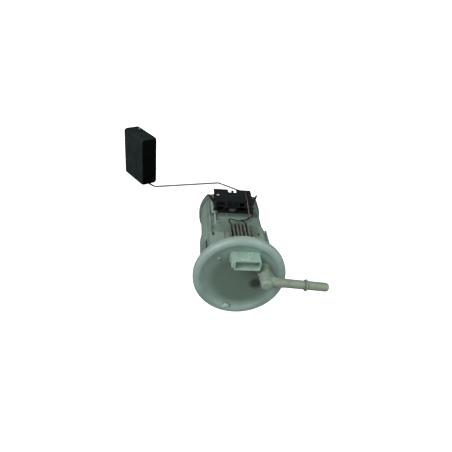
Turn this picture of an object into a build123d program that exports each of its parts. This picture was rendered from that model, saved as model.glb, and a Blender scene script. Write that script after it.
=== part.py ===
from build123d import *
import math
import os

# In-tank fuel pump module. Row frame in millimetres: +Z points out of the tank, the flange's
# sealing face lies at z = 0 and the module hangs below it. The flat of the D-shaped case, with
# the level sender on it, looks to -Y. The outlet points to -X and the float arm to +X.

# ------------------------------------------------------------------ driving dimensions (mm)
FIT = 0.1                 # clearance between nested mouldings
SEAT = 0.3                # clearance of a part that rests on soft rubber

# Flange cover
RIM_H = 8.0               # crown of the rolled rim above the sealing face
RIM_W = 11.5              # radial width of the rolled rim
FLOOR_Z = 3.2             # top of the dished floor
FLOOR_T = 2.7             # floor thickness
RIM_INSIDE = 3.4          # rounding of the rim's inner edge
DISH_ROUND = 11.0         # sweep from the dish floor up into the rim
SEAT_W = 3.8              # width of the flat sealing annulus
SEAL_W = 3.0              # pocket width for the seal
SEAL_H = 2.6              # pocket depth for the seal
SEAL_PROUD = 0.6          # how far the free seal stands below the sealing face
COLLAR_H = 4.0            # collar that takes the case, below the sealing face
COLLAR_T = 1.2            # thinnest wall of the collar
TAB_X = 10.4              # key tab on the rim
TAB_OUT = 1.6             # tab's middle beyond the rim's foot
TAB_TURN = -16.0
TAB_W = 5.2
TAB_L = 5.4
TAB_T = 2.6
BUMP_IN = 5.1             # index bump, from the rim's foot towards the axis
BUMP_ANGLE = -43.45
BUMP_R = 1.7
BUMP_RISE = 1.3

# D-shaped case
CASE_X = 1.7              # case axis beside the flange axis
CASE_R = 36.1             # outside radius of the lower case
CASE_FLAT = 22.1          # lower case axis to its flat
CASE_WALL = 2.0           # case wall
UPPER_END = -56.0         # lower end of the upper case
UPPER_STEP = -45.0        # where the upper case's flat wall is cut back
LOWER_TOP = -43.0         # upper end of the lower case
CAP_TOP = -116.5          # upper edge of the end cap
CAP_END = -130.0          # far end of the end cap
CAP_FLOOR = 2.5           # end cap floor thickness
CAP_ROUND = 5.0           # rounding of the far edge
LEG_W = 16.0              # width of a snap leg, in degrees about the case axis
LEG_T = 2.2               # snap leg thickness
LEG_END = -59.0           # lower end of the snap legs
LEG_ANGLES = (198.0, 100.0)

# Electrical connector
PLUG_FROM_TOWER = 19.1    # outlet tower axis to the socket's middle, along X
PLUG_Y = -24.55           # socket's middle
PLUG_W = 26.4             # socket outside, along X
PLUG_D = 11.5             # socket outside, along Y
PLUG_TOP = 17.4           # mouth of the socket
PLUG_WALL = 1.3           # socket wall
PLUG_FOOT = 1.2           # height of the welding foot round the socket
PLUG_EDGE = 0.8           # how far the welding foot stands out
KEY_T = 2.4               # keying rib on the socket's +X end
KEY_W = 6.8
LATCH_T = 1.0             # latch ribs and ramp on the -Y wall
BLADE_COUNT = 5           # terminals
BLADE_W = 2.2
BLADE_T = 0.64
BLADE_PITCH = 4.2

# Outlet elbow
TOWER_EDGE = 13.2         # tower axis to the foot of the rim, along X
TOWER_Y = -11.4
TOWER_R = 5.9             # tower outside radius
TOWER_TOP = 32.0          # tower's head above the sealing face
TOWER_ROUND = 3.2         # rounding of the tower's head
SPIGOT_Z = 23.7           # spigot axis above the sealing face
SPIGOT_TURN = 4.6         # spigot axis turned from -X, degrees
SPIGOT_R = 4.5            # spigot outside radius
BEAD_R = 5.9              # retaining bead of the quick connector
BEAD_W = 2.0
BEAD_AT = 40.6            # tower axis to bead
SPIGOT_LEN = 64.9         # tower axis to tip
BORE_R = 2.8              # fuel way
ROOT_R = 5.1              # thick root of the spigot
ROOT_LEN = 20.0           # tower axis to the root's thin end
TIP_ROUND = 3.8
RISER_STUB_R = 4.0        # elbow stub outside radius

# Turbine pump, coaxial with the case
PUMP_R = 19.0             # pump outside radius
PUMP_WALL = 1.2           # pump shell thickness
PUMP_TOP = -56.0          # upper rolled edge of the shell
PUMP_END = -119.0         # lower end of the inlet cover
SHAFT_R = 1.6
SHAFT_FIT = 0.03          # radial running clearance in the bushes
IMPELLER_R = 14.9
IMPELLER_T = 3.6
IMPELLER_VANES = 20
NIPPLE_R = 4.0            # pump outlet nipple
NIPPLE_LEN = 9.0
STACK_R = 13.8            # armature lamination stack
STACK_SLOTS = 8
MAGNET_T = 2.9
MAGNET_ARC = 130.0        # arc of each magnet, degrees
INLET_R = 5.0             # inlet stub
INLET_LEN = 7.0
INLET_ROOM = 1.6          # free ring round the inlet stub

# Manifold between pump and flange
DECK_TOP = -42.0          # upper face of the manifold deck
DECK_T = 2.6
SOCKET_WALL = 2.0
RISER_R = 5.4             # riser to the outlet tower
STUB_LEN = 7.0            # elbow stub inside the riser
VALVE_R = 3.4             # check valve poppet
VALVE_TRAVEL = 2.5
VALVE_HOUSE_LEN = 18.0

# Pressure regulator
REG_IN = 14.6             # regulator axis inside the case's outer face, along X
REG_Y = 9.0
REG_R = 10.5              # crimped flange of the can
REG_CAN_R = 8.6
REG_H = 19.0              # can height
REG_NECK_R = 3.6
REG_NECK_LEN = 6.0
REG_TRAVEL = 1.2

# Filter element
FILTER_IN = 21.5          # inside radius of the pleats
FILTER_OUT = CASE_R - CASE_WALL - SEAT    # outside radius of the end rings
FILTER_TOP = -48.0
FILTER_END = -120.0
FILTER_FROM = -24.0       # the pleats run between these angles about the case axis
FILTER_TO = 204.0
FILTER_PLEATS = 38
FILTER_RING_H = 2.5       # end rings
PLEAT_T = 1.6             # depth of a folded layer

# Suction strainer
STRAINER_L = 56.0
STRAINER_W = 36.0
STRAINER_T = 6.5
STRAINER_DROP = 3.5       # gap between end cap and strainer bag

# Level sender, carried by rails on the flat of the lower case
FRAME_X0 = -20.0          # sender frame, right and left ends
FRAME_X1 = 25.1
FRAME_Z0 = CAP_TOP + 1.9  # far edge, clear of the end cap
FRAME_D = 29.1            # far edge to near edge
FRAME_Z1 = FRAME_Z0 + FRAME_D
FRAME_TOP = 38.5          # top of the cover plate, measured from the case axis
PLATE_T = 1.5             # cover plate
BASE_T = 2.3              # base plate on the case
WALL_T = 1.8              # frame walls
LATTICE_Y = 30.4          # lower edge of the lattice front wall
PIVOT_X = -11.0           # arm pivot
PIVOT_Z = FRAME_Z0 + 10.1
BOSS_R = 3.3              # pivot boss on the base plate
BOSS_TOP = 32.3
FOOT_W = 1.8              # edge of the base that slides under the rail's lip
RAIL_T = 2.2
RAIL_H = 5.2
CARD_T = 1.0
HUB_R = 4.3
WIPER_LEN = 17.5
ARM_REACH = 4.0           # rest angle of the contact arm above +X, degrees

# Float arm and float
WIRE_R = 1.0              # arm wire
PIVOT_FIT = 0.05          # radial running clearance of the wire in its boss
WIRE_Y = 35.6             # plane of the arm wire, measured from the case axis
ARM_POINTS = ((-10.2, -116.3), (17.8, -136.7), (95.5, -116.5), (114.9, -134.7))
ARM_BEND = 4.0            # bend radius of the arm wire
FLOAT_W = 44.2            # float width, thickness and length
FLOAT_T = 20.6
FLOAT_L = 57.5
FLOAT_Y = 39.7            # near face of the float, measured from the case axis
FLOAT_TILT = 55.3         # turn of the float's width from +X towards -Z, degrees
FLOAT_SHIFT = (-4.0, 1.5) # float centre beside the wire, along its width and thickness
FLOAT_ROUND = 3.2
FLOAT_FIT = 0.08
CLIP_R = 2.7              # clip at the arm's tip

# Terminal comb on the case's flat
COMB_X = -2.6             # middle fin
COMB_PITCH = 4.0
COMB_FIN_T = 1.5
COMB_TOP = 31.0           # fin tips, measured from the case axis
COMB_BASE = 1.8
COMB_END = -57.0          # far end of the long fins
COMB_NEAR = -4.4
FIN_SHORT = (17.0, 0.0, 4.4, 3.0, 2.0, 0.0, 12.0)    # how far each fin stops short, from -X to +X

# Sender leads
LEAD_R = 0.65             # insulated lead

MIN_BOTTOM = Align.CENTER, Align.CENTER, Align.MIN


# ------------------------------------------------------------------ helpers
def cyl(radius, z0, z1, x=0.0, y=0.0):
    """Upright cylinder from z0 to z1."""
    return Pos(x, y, z0) * Cylinder(radius, z1 - z0, align=MIN_BOTTOM)


def ring(r_out, r_in, z0, z1, x=0.0, y=0.0):
    """Upright ring from z0 to z1."""
    return cyl(r_out, z0, z1, x, y) - cyl(r_in, z0 - 1, z1 + 1, x, y)


def block(x0, x1, y0, y1, z0, z1):
    """Box between two corners."""
    middle = Pos((x0 + x1) / 2, (y0 + y1) / 2, (z0 + z1) / 2)
    return middle * Box(abs(x1 - x0), abs(y1 - y0), abs(z1 - z0))


def peg(radius, y0, y1, x, z):
    """Cylinder along Y from y0 to y1."""
    low = min(y0, y1)
    return Pos(x, low, z) * Rot(X=-90) * Cylinder(radius, abs(y1 - y0), align=MIN_BOTTOM)


def turned(points, x=0.0, y=0.0, rounds=None):
    """Solid of revolution about an upright axis, from (radius, z) points."""
    radii = rounds if rounds else [0.0] * len(points)
    outline = FilletPolyline(*points, radius=radii, close=True)
    return Pos(x, y, 0) * revolve(Plane.XZ * make_face(outline), axis=Axis.Z)


def d_face(radius, flat):
    """D section about the case axis, with its flat towards -Y."""
    size = 4 * radius
    half_plane = Pos(CASE_X, size / 2 - flat) * Rectangle(size, size)
    return (Pos(CASE_X, 0) * Circle(radius)) & half_plane


def d_prism(radius, flat, z0, z1):
    """D-shaped prism from z0 to z1."""
    return Pos(0, 0, z0) * extrude(d_face(radius, flat), z1 - z0)


def d_tube(radius, flat, wall, z0, z1):
    """D-shaped tube, open at both ends."""
    return d_prism(radius, flat, z0, z1) - d_prism(radius - wall, flat - wall, z0 - 1, z1 + 1)


def sector(r_out, r_in, z0, z1, start, end):
    """Sector of a ring about the case axis, between two angles in degrees."""
    arc_out = CenterArc((0, 0), r_out, start, end - start)
    arc_in = CenterArc((0, 0), r_in, start, end - start)
    sides = [Line(arc_out @ 0, arc_in @ 0), Line(arc_out @ 1, arc_in @ 1)]
    return Pos(CASE_X, 0, z0) * extrude(make_face([arc_out, arc_in, *sides]), z1 - z0)


def bent_tube(points, bends, radius):
    """Round bar along straight runs joined by tangent arcs."""
    path = FilletPolyline(*points, radius=bends)
    section = Plane(origin=path @ 0, z_dir=path % 0) * Circle(radius)
    return sweep(section, path=path), path


# ------------------------------------------------------------------ flange cover
UPPER_R = CASE_R + FIT + CASE_WALL            # upper case outside
UPPER_FLAT = CASE_FLAT + FIT + CASE_WALL
CASE_TOP = FLOOR_Z - FLOOR_T                  # the upper case ends under the floor
LEG_R = UPPER_R + FIT                         # inside of the snap legs
COLLAR_R = LEG_R + CASE_X + COLLAR_T          # collar outside, about the flange axis
POCKET_R = COLLAR_R + SEAL_W                  # outside of the seal pocket
FLANGE_R = POCKET_R + SEAT_W                  # flange outside
FLOOR_R = FLANGE_R - RIM_W                    # foot of the rolled rim
TOWER_X = TOWER_EDGE - FLOOR_R                # tower axis
PLUG_X = TOWER_X + PLUG_FROM_TOWER            # socket's middle
WINDOW_Z0 = LEG_END + 5.0                     # snap window in each leg
WINDOW_H = 5.0
LUG_T = 1.6


def flange_cover():
    """Dished cover with rolled rim, case collar, snap legs, tab and bump."""
    crown = FLANGE_R - RIM_W / 2
    points = [(0, CASE_TOP), (COLLAR_R, CASE_TOP), (COLLAR_R, SEAL_H), (POCKET_R, SEAL_H)]
    points += [(POCKET_R, 0), (FLANGE_R, 0), (FLANGE_R, RIM_H), (crown - 1, RIM_H)]
    points += [(FLOOR_R, FLOOR_Z), (0, FLOOR_Z)]
    rounds = [0, 0, 0, 0, 0, 0.6, 4.4, RIM_INSIDE, DISH_ROUND, 0]
    cover = turned(points, rounds=rounds)
    collar = cyl(COLLAR_R, -COLLAR_H, CASE_TOP) - d_prism(LEG_R, UPPER_FLAT + FIT, -COLLAR_H - 1, CASE_TOP)
    cover += collar
    for angle in LEG_ANGLES:
        start, end = angle - LEG_W / 2, angle + LEG_W / 2
        leg = sector(LEG_R + LEG_T, LEG_R, LEG_END, 0, start, end)
        leg -= sector(LEG_R + LEG_T + 1, LEG_R - 1, WINDOW_Z0, WINDOW_Z0 + WINDOW_H, start + 4, end - 4)
        cover += leg
    hole = cyl(RISER_STUB_R + FIT, -COLLAR_H - 1, FLOOR_Z + 1, TOWER_X, TOWER_Y)
    half_w, half_d = WELL_W / 2 + WELL_FIT, WELL_D / 2 + WELL_FIT
    hole += block(PLUG_X - half_w, PLUG_X + half_w, PLUG_Y - half_d, PLUG_Y + half_d,
                  -COLLAR_H - 1, FLOOR_Z + 1)
    hole += Pos(0, 0, FLOOR_Z) * extrude(foot_outline(FIT), RIM_H)
    hole += cyl(TOWER_R + TOWER_FOOT + FIT, FLOOR_Z, FLOOR_Z + RIM_H, TOWER_X, TOWER_Y)
    tab = Pos(TAB_X, FLOOR_R + TAB_OUT, RIM_H - TAB_T / 2 + 0.1) * Rot(Z=TAB_TURN) * Box(TAB_W, TAB_L, TAB_T)
    turn = math.radians(BUMP_ANGLE)
    reach = FLOOR_R - BUMP_IN
    bump = cyl(BUMP_R, FLOOR_Z - 1, FLOOR_Z + BUMP_RISE, reach * math.cos(turn), reach * math.sin(turn))
    return cover + tab + bump - hole


WELL_W = PLUG_W - 2 * PLUG_WALL - 2.2         # socket floor where it passes through the cover
WELL_D = PLUG_D - 2 * PLUG_WALL - 3.3
WELL_FIT = 0.2


def flange_seal():
    """Square-section rubber seal with a rounded outer bead, in the pocket of the flange."""
    inner, outer = COLLAR_R + FIT, POCKET_R - FIT
    points = [(inner, -SEAL_PROUD), (outer, -SEAL_PROUD), (outer, SEAL_H - FIT), (inner, SEAL_H - FIT)]
    return turned(points, rounds=[0.9, 0.9, 0.4, 0.4])


def foot_outline(margin=0.0):
    """Outline of the socket's welding foot with its keying rib, grown by a margin."""
    width = PLUG_W + KEY_T + 2 * (PLUG_EDGE + margin)
    depth = PLUG_D + 2 * (PLUG_EDGE + margin)
    return Pos(PLUG_X + KEY_T / 2, PLUG_Y) * RectangleRounded(width, depth, 1.6 + margin)


def connector_housing():
    """Rectangular plug socket with a welding foot, keying rib, latch ribs and blade floor."""
    outer = Pos(PLUG_X, PLUG_Y) * RectangleRounded(PLUG_W, PLUG_D, 1.8)
    inner = Pos(PLUG_X, PLUG_Y) * RectangleRounded(PLUG_W - 2 * PLUG_WALL, PLUG_D - 2 * PLUG_WALL, 0.9)
    shell = Pos(0, 0, FLOOR_Z) * extrude(outer, PLUG_TOP - FLOOR_Z)
    shell += Pos(0, 0, FLOOR_Z) * extrude(foot_outline(), PLUG_FOOT)
    end = PLUG_X + PLUG_W / 2
    key = block(end - 0.5, end + KEY_T, PLUG_Y - KEY_W / 2, PLUG_Y + KEY_W / 2, FLOOR_Z, PLUG_TOP - 0.8)
    shell += fillet(key.edges().filter_by(Axis.Z).group_by(Axis.X)[-1], 0.6)
    shell -= Pos(0, 0, SOCKET_FLOOR) * extrude(inner, PLUG_TOP)
    back = PLUG_Y - PLUG_D / 2
    for x in (PLUG_X - 1.6, PLUG_X - 4.8):
        rib = block(x - 0.6, x + 0.6, back - LATCH_T, back + 0.3, FLOOR_Z + PLUG_FOOT / 2, FLOOR_Z + 6.0)
        shell += chamfer(rib.edges().filter_by(Axis.X).group_by(Axis.Y)[0].group_by(Axis.Z)[-1], 0.8)
    ramp = block(PLUG_X - 1.2, PLUG_X + 7.0, back - LATCH_T, back + 0.3, PLUG_TOP - 3.6, PLUG_TOP - 0.8)
    shell += chamfer(ramp.edges().filter_by(Axis.X).group_by(Axis.Y)[0].group_by(Axis.Z)[0], 0.8)
    shell += block(PLUG_X - WELL_W / 2, PLUG_X + WELL_W / 2, PLUG_Y - WELL_D / 2, PLUG_Y + WELL_D / 2,
                   CASE_TOP, FLOOR_Z)
    for x in blade_places():
        shell -= block(x - BLADE_W / 2 - 0.02, x + BLADE_W / 2 + 0.02, PLUG_Y - BLADE_T / 2 - 0.02,
                       PLUG_Y + BLADE_T / 2 + 0.02, CASE_TOP - 1, SOCKET_FLOOR + 1)
    return shell


SOCKET_FLOOR = FLOOR_Z + 2.4                  # floor inside the plug socket


def blade_places():
    """X places of the terminals."""
    first = PLUG_X - BLADE_PITCH * (BLADE_COUNT - 1) / 2
    return [first + BLADE_PITCH * i for i in range(BLADE_COUNT)]


def connector_blades():
    """Flat blade terminals with pointed ends, one solid each."""
    parts = []
    for x in blade_places():
        top = PLUG_TOP - 4.0
        blade = block(x - BLADE_W / 2, x + BLADE_W / 2, PLUG_Y - BLADE_T / 2, PLUG_Y + BLADE_T / 2,
                      CASE_TOP - 2.2, top)
        tips = blade.edges().filter_by(Axis.Y).group_by(Axis.Z)[-1]
        parts.append(chamfer(tips, 0.6))
    return Compound(children=parts)


# ------------------------------------------------------------------ outlet elbow
def spigot_frame(distance=0.0):
    """Location on the spigot axis, with local Z pointing to the tip."""
    turn = math.radians(SPIGOT_TURN)
    way = Vector(-math.cos(turn), math.sin(turn), 0)
    origin = Vector(TOWER_X, TOWER_Y, SPIGOT_Z) + way * distance
    return Plane(origin=origin, x_dir=(0, 0, 1), z_dir=way)


def upright_web(points, turn):
    """Thin upright web beside the tower, from (distance, z) points."""
    web = extrude(Plane.XZ * make_face(Polyline(*points, close=True)), WEB_T / 2, both=True)
    return Pos(TOWER_X, TOWER_Y, 0) * Rot(Z=turn) * web


def outlet_elbow():
    """Tower with rounded head, grooved spigot root, bead, webs, stub and drilled way."""
    stub_end = CASE_TOP - STUB_LEN
    foot = TOWER_R + TOWER_FOOT
    points = [(0, stub_end), (RISER_STUB_R, stub_end), (RISER_STUB_R, FLOOR_Z), (foot, FLOOR_Z)]
    points += [(foot, FLOOR_Z + TOWER_FOOT), (TOWER_R, FLOOR_Z + 2 * TOWER_FOOT)]
    points += [(TOWER_R, TOWER_TOP), (0, TOWER_TOP)]
    tower = turned(points, TOWER_X, TOWER_Y, rounds=[0, 0.6, 0, 0, 0.3, 0.5, TOWER_ROUND, 0])
    profile = [(0, 0), (ROOT_R, 0), (ROOT_R, ROOT_LEN - 6), (SPIGOT_R, ROOT_LEN)]
    profile += [(SPIGOT_R, BEAD_AT - BEAD_W / 2 - 0.6), (BEAD_R, BEAD_AT - BEAD_W / 2)]
    profile += [(BEAD_R, BEAD_AT + BEAD_W / 2), (SPIGOT_R, BEAD_AT + BEAD_W / 2 + 0.6)]
    profile += [(SPIGOT_R, SPIGOT_LEN), (0, SPIGOT_LEN)]
    rounds = [0, 0, 1.5, 2.0, 0, 0.7, 0.7, 0, TIP_ROUND, 0]
    outline = FilletPolyline(*profile, radius=rounds, close=True)
    spigot = revolve(Plane.XZ * make_face(outline), axis=Axis.Z)
    for side in range(4):
        groove = Pos(ROOT_R, 0, TOWER_R + 1.2 + GROOVE_L / 2) * Box(1.4, 2.6, GROOVE_L)
        spigot -= Rot(Z=45 + 90 * side) * groove
    under = SPIGOT_Z - SPIGOT_R
    fin = [(TOWER_R - 1, FLOOR_Z + 1), (TOWER_R + 0.8, FLOOR_Z + 1), (TOWER_R + 5.6, under)]
    fin += [(TOWER_R - 1, under)]
    gusset = [(TOWER_R - 1, FLOOR_Z), (TOWER_R + 3.6, FLOOR_Z), (TOWER_R - 1, FLOOR_Z + 18)]
    elbow = tower + spigot_frame().location * spigot
    elbow += upright_web(fin, 180 - SPIGOT_TURN) + upright_web(gusset, 0)
    way_up = cyl(BORE_R, stub_end - 1, SPIGOT_Z, TOWER_X, TOWER_Y)
    way_up += Pos(TOWER_X, TOWER_Y, SPIGOT_Z) * Sphere(BORE_R)
    way_out = spigot_frame().location * Cylinder(BORE_R, SPIGOT_LEN + 2, align=MIN_BOTTOM)
    return elbow - way_up - way_out


WEB_T = 1.4                                   # webs beside the tower
TOWER_FOOT = 1.0                              # welding foot round the tower
GROOVE_L = 6.8                                # grooves of the spigot's root


# ------------------------------------------------------------------ case
VENT_ANGLES = (327.0, 28.0)                   # slots in the upper case
VENT_LOW = -33.0
PANEL_LOW = UPPER_STEP + 2.6                  # raised panel on the upper flat
VENT_H = 16.0


def upper_case():
    """Upper shell of the case with cut-back flat, side slots, panel, snap lugs and comb pads."""
    shell = d_tube(UPPER_R, UPPER_FLAT, CASE_WALL, UPPER_END, CASE_TOP)
    shell -= block(FRAME_X0 - 4, 27.5, -UPPER_FLAT - 1, -CASE_FLAT - FIT / 2, UPPER_END - 1, UPPER_STEP)
    for angle in LEG_ANGLES:
        start, end = angle - LEG_W / 2 + 5, angle + LEG_W / 2 - 5
        low, high = WINDOW_Z0 + SEAT, WINDOW_Z0 + WINDOW_H - 1.2
        shell += sector(UPPER_R + LUG_T, UPPER_R - 0.5, low, high, start, end)
    panel = block(15.0, 26.0, -UPPER_FLAT - 0.9, -UPPER_FLAT + 0.5, PANEL_LOW, -COLLAR_H - 3)
    shell += chamfer(panel.edges().filter_by(Axis.Z).group_by(Axis.Y)[0], 0.5)
    for x, z in ((27.0, -38.0), (-22.5, -40.0)):
        shell -= block(x - 1.1, x + 1.1, -UPPER_FLAT - 2, -UPPER_FLAT + CASE_WALL + 1, z - 3, z + 3)
    for x in (20.4, 23.4):
        shell -= block(x - 0.7, x + 0.7, -UPPER_FLAT - 1, -UPPER_FLAT + 1.0, UPPER_STEP - 1, PANEL_LOW - 0.3)
    for angle in VENT_ANGLES:
        shell -= sector(UPPER_R + 1, UPPER_R - CASE_WALL - 1, VENT_LOW, VENT_LOW + VENT_H, angle, angle + 5)
    return shell


def lower_case():
    """Lower shell of the case with the rails, stops and ribs that hold the sender."""
    shell = d_tube(CASE_R, CASE_FLAT, CASE_WALL, CAP_END + CAP_FLOOR + SEAT, LOWER_TOP)
    face = -CASE_FLAT
    lip_y = face - BASE_T - FIT
    edges = ((FRAME_X1 + FIT, 1), (FRAME_X0 - FOOT_W - FIT, -1))
    for edge, side in edges:
        x0, x1 = sorted((edge, edge + side * RAIL_T))
        shell += block(x0, x1, face - RAIL_H, face + 0.5, FRAME_Z0, FRAME_Z1 - 1.5)
        x0, x1 = sorted((edge - side * (FOOT_W - 0.3), edge + side * 0.5))
        shell += block(x0, x1, lip_y - 1.3, lip_y, FRAME_Z0, FRAME_Z1 - 9.0)
    shell += block(FRAME_X1 - 4.5, FRAME_X1 + FIT + RAIL_T, face - 2.6, face + 0.5, STOP_Z, STOP_Z + 2.2)
    shell += block(23.0, 24.8, face - 2.6, face + 0.5, STOP_Z + 4.2, HOOK_TOP)
    shell += block(19.8, 24.8, face - 2.6, face + 0.5, HOOK_TOP - 1.8, HOOK_TOP)
    shell += block(CASE_R - 6.6, CASE_R - 5.1, face - 0.9, face + 3.5, FRAME_Z0 + 1.0, FRAME_Z1 + 0.5)
    shell += block(9.4, 10.6, face - 1.3, face + 0.5, STOP_Z + 4.2, HOOK_TOP)
    shell += block(9.4, 23.8, face - 0.7, face + 0.5, -70.5, -69.5)
    shell += peg(BUTTON_R - 2.2, face - BASE_T - 1.0, face + 0.5, BUTTON_X, BUTTON_Z)
    return shell


STOP_Z = FRAME_Z1 + 0.3                       # stop foot in front of the sender base
HOOK_TOP = STOP_Z + 24.2                      # upper end of the cable hook
BUTTON_X = 2.7                                # locking button of the sender base
BUTTON_Z = FRAME_Z1 - 5.0
BUTTON_R = 4.9


def end_cap():
    """End cap with a rounded far edge, inlet hole, foot ribs and vents."""
    flat = UPPER_FLAT
    cap = d_prism(CASE_R + FIT + CASE_WALL + 0.2, flat, CAP_END, CAP_TOP)
    cap = fillet(cap.faces().sort_by(Axis.Z)[0].edges(), CAP_ROUND)
    cap -= d_prism(CASE_R + FIT, CASE_FLAT + FIT, CAP_END + CAP_FLOOR, CAP_TOP + 1)
    cap -= cyl(INLET_R + INLET_ROOM, CAP_END - 1, CAP_END + CAP_FLOOR + 1, CASE_X)
    for angle in (35, 90, 145):
        slot = Pos(CASE_X, 0, CAP_END + 1) * Rot(Z=angle) * Pos(23, 0, 0) * Box(9, 3, 6)
        cap -= slot
    return cap


# ------------------------------------------------------------------ manifold and check valve
SOCKET_R = NIPPLE_R + FIT + 0.7               # nipple seal pocket
DECK_END = DECK_TOP - DECK_T
NIPPLE_TOP = PUMP_TOP + NIPPLE_LEN
VALVE_SEAT_Z = DECK_TOP + 1.0
VALVE_BORE = VALVE_R + 0.6
HOUSE_TOP = DECK_TOP + VALVE_HOUSE_LEN
RISER_TOP = CASE_TOP - 0.4
REG_SEAT_Z = DECK_TOP + 4.0                   # the regulator can rests here
REG_BORE = REG_NECK_R + 0.9
REG_X = CASE_R - REG_IN                       # regulator axis
STEM_R = 1.3                                  # poppet stem, and its thinner guide
GUIDE_R = 0.9
GUIDE_FIT = 0.05
VALVE_SPRING_Z = VALVE_SEAT_Z + 2.5           # spring seat on the poppet
STEM_SHOULDER = VALVE_SEAT_Z + 8.7            # meets the retainer when fully open
RETAINER_Z = STEM_SHOULDER + VALVE_TRAVEL
RETAINER_T = 2.4
CAN_T = 1.0                                   # regulator can's sheet
PLATE_Z = REG_SEAT_Z + CAN_T + 0.2            # diaphragm plate on its seat
PLATE_H = 5.0


def manifold():
    """Deck with pump socket, check valve house, riser to the outlet and regulator socket."""
    deck = d_prism(CASE_R - CASE_WALL - FIT, CASE_FLAT - CASE_WALL - FIT, DECK_END, DECK_TOP)
    rim = d_tube(CASE_R, CASE_FLAT, CASE_WALL + FIT, LOWER_TOP + 0.05, DECK_TOP)
    deck += rim
    socket_end = NIPPLE_TOP - 6.0
    deck += cyl(SOCKET_R + SOCKET_WALL, socket_end, DECK_TOP, CASE_X)
    deck += cyl(VALVE_BORE + SOCKET_WALL, DECK_TOP, HOUSE_TOP, CASE_X)
    deck += cyl(RISER_R, DECK_TOP, RISER_TOP, TOWER_X, TOWER_Y)
    deck += cyl(REG_BORE + SOCKET_WALL, DECK_TOP, REG_SEAT_Z, REG_X, REG_Y)
    for x, y in ((TOWER_X, TOWER_Y), (REG_X, REG_Y)):
        length = math.hypot(x - CASE_X, y)
        angle = math.degrees(math.atan2(y, x - CASE_X))
        web = Pos(length / 2, 0, DECK_TOP + 1.8) * Box(length - 8, 1.6, 3.8)
        deck += Pos(CASE_X, 0, 0) * Rot(Z=angle) * web
    cuts = cyl(SOCKET_R, socket_end - 1, DECK_END, CASE_X)
    cuts += cyl(VALVE_R - 1.2, DECK_END - 1, VALVE_SEAT_Z + 1, CASE_X)
    cuts += cyl(VALVE_BORE, VALVE_SEAT_Z, HOUSE_TOP + 1, CASE_X)
    cuts += cyl(RISER_STUB_R + FIT, DECK_TOP + 2, RISER_TOP + 1, TOWER_X, TOWER_Y)
    cuts += cyl(BORE_R, DECK_END - 1, DECK_TOP + 3, TOWER_X, TOWER_Y)
    cuts += cyl(REG_BORE, REG_SEAT_Z - REG_NECK_LEN + 0.2, REG_SEAT_Z + 1, REG_X, REG_Y)
    return deck - cuts


def check_valve_poppet():
    """Mushroom poppet with a guide stem, closed on its seat at rest."""
    seat = VALVE_SEAT_Z
    tip = RETAINER_Z + RETAINER_T + 0.6
    points = [(0, seat), (VALVE_R - 0.4, seat), (VALVE_R, seat + 0.8), (VALVE_R, seat + 2.0)]
    points += [(STEM_R, seat + 2.4), (STEM_R, STEM_SHOULDER), (GUIDE_R, STEM_SHOULDER), (GUIDE_R, tip)]
    return turned(points + [(0, tip)], CASE_X, 0)


def coil_spring(radius, wire, z0, z1, x, y, turns):
    """Round-wire compression spring between two heights."""
    height = z1 - z0 - wire
    path = Pos(x, y, z0 + wire / 2) * Helix(pitch=height / turns, height=height, radius=radius)
    section = Plane(origin=path @ 0, z_dir=path % 0) * Circle(wire / 2)
    return sweep(section, path=path, is_frenet=True)


def check_valve_spring():
    """Light return spring of the check valve."""
    return coil_spring(2.2, 0.5, VALVE_SPRING_Z, RETAINER_Z, CASE_X, 0, 5)


def check_valve_retainer():
    """Pressed-in retainer that backs the spring and guides the stem."""
    low = RETAINER_Z
    body = cyl(VALVE_BORE - 0.02, low, low + RETAINER_T, CASE_X)
    for angle in (0, 120, 240):
        hole = Pos(CASE_X, 0, low + RETAINER_T / 2) * Rot(Z=angle) * Pos(2.7, 0, 0) * Cylinder(0.8, 4)
        body -= hole
    return body - cyl(GUIDE_R + GUIDE_FIT, low - 1, low + 4, CASE_X)


def nipple_seal():
    """Rubber lip seal between the pump's nipple and its socket."""
    low = NIPPLE_TOP - 5.0
    return ring(SOCKET_R - 0.02, NIPPLE_R + 0.02, low, low + 3.2, CASE_X)


# ------------------------------------------------------------------ pressure regulator
def regulator_can():
    """Two-step can with a crimped flange, an inlet neck and vent holes."""
    z = REG_SEAT_Z
    top = z + REG_H
    points = [(1.5, z - REG_NECK_LEN + 0.8), (REG_NECK_R, z - REG_NECK_LEN + 0.8), (REG_NECK_R, z)]
    points += [(REG_CAN_R, z), (REG_CAN_R, z + 6), (REG_R, z + 6), (REG_R, z + 8.4), (REG_CAN_R, z + 8.4)]
    stop = PLATE_Z + PLATE_H + REG_TRAVEL
    inside = REG_CAN_R - CAN_T
    points += [(REG_CAN_R, top), (2.2, top), (2.2, stop), (3.2, stop), (3.2, top - CAN_T)]
    points += [(inside, top - CAN_T), (inside, PLATE_Z), (1.5, PLATE_Z)]
    rounds = [0, 0.5, 0, 0.8, 0, 0.5, 0.5, 0, 1.6, 0, 0, 0, 0, 0.7, 0.3, 0]
    can = turned(points, REG_X, REG_Y, rounds)
    for angle in range(0, 360, 90):
        can -= Pos(REG_X, REG_Y, z + 3.2) * Rot(Z=angle) * Pos(REG_CAN_R, 0, 0) * Rot(Y=90) * Cylinder(1.1, 5)
    return can


def regulator_valve():
    """Diaphragm plate with its valve button, closed on the neck at rest."""
    z = PLATE_Z
    edge = REG_CAN_R - CAN_T - 0.3
    points = [(0, z), (2.6, z), (2.6, z + 2.0), (edge, z + 3.4), (edge, z + 4.0)]
    points += [(3.4, z + 4.0), (3.4, z + PLATE_H), (0, z + PLATE_H)]
    return turned(points, REG_X, REG_Y)


def regulator_spring():
    """Set spring above the diaphragm plate."""
    return coil_spring(5.4, 1.2, PLATE_Z + 4.0 + 0.05, REG_SEAT_Z + REG_H - CAN_T - 0.05, REG_X, REG_Y, 4)


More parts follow.
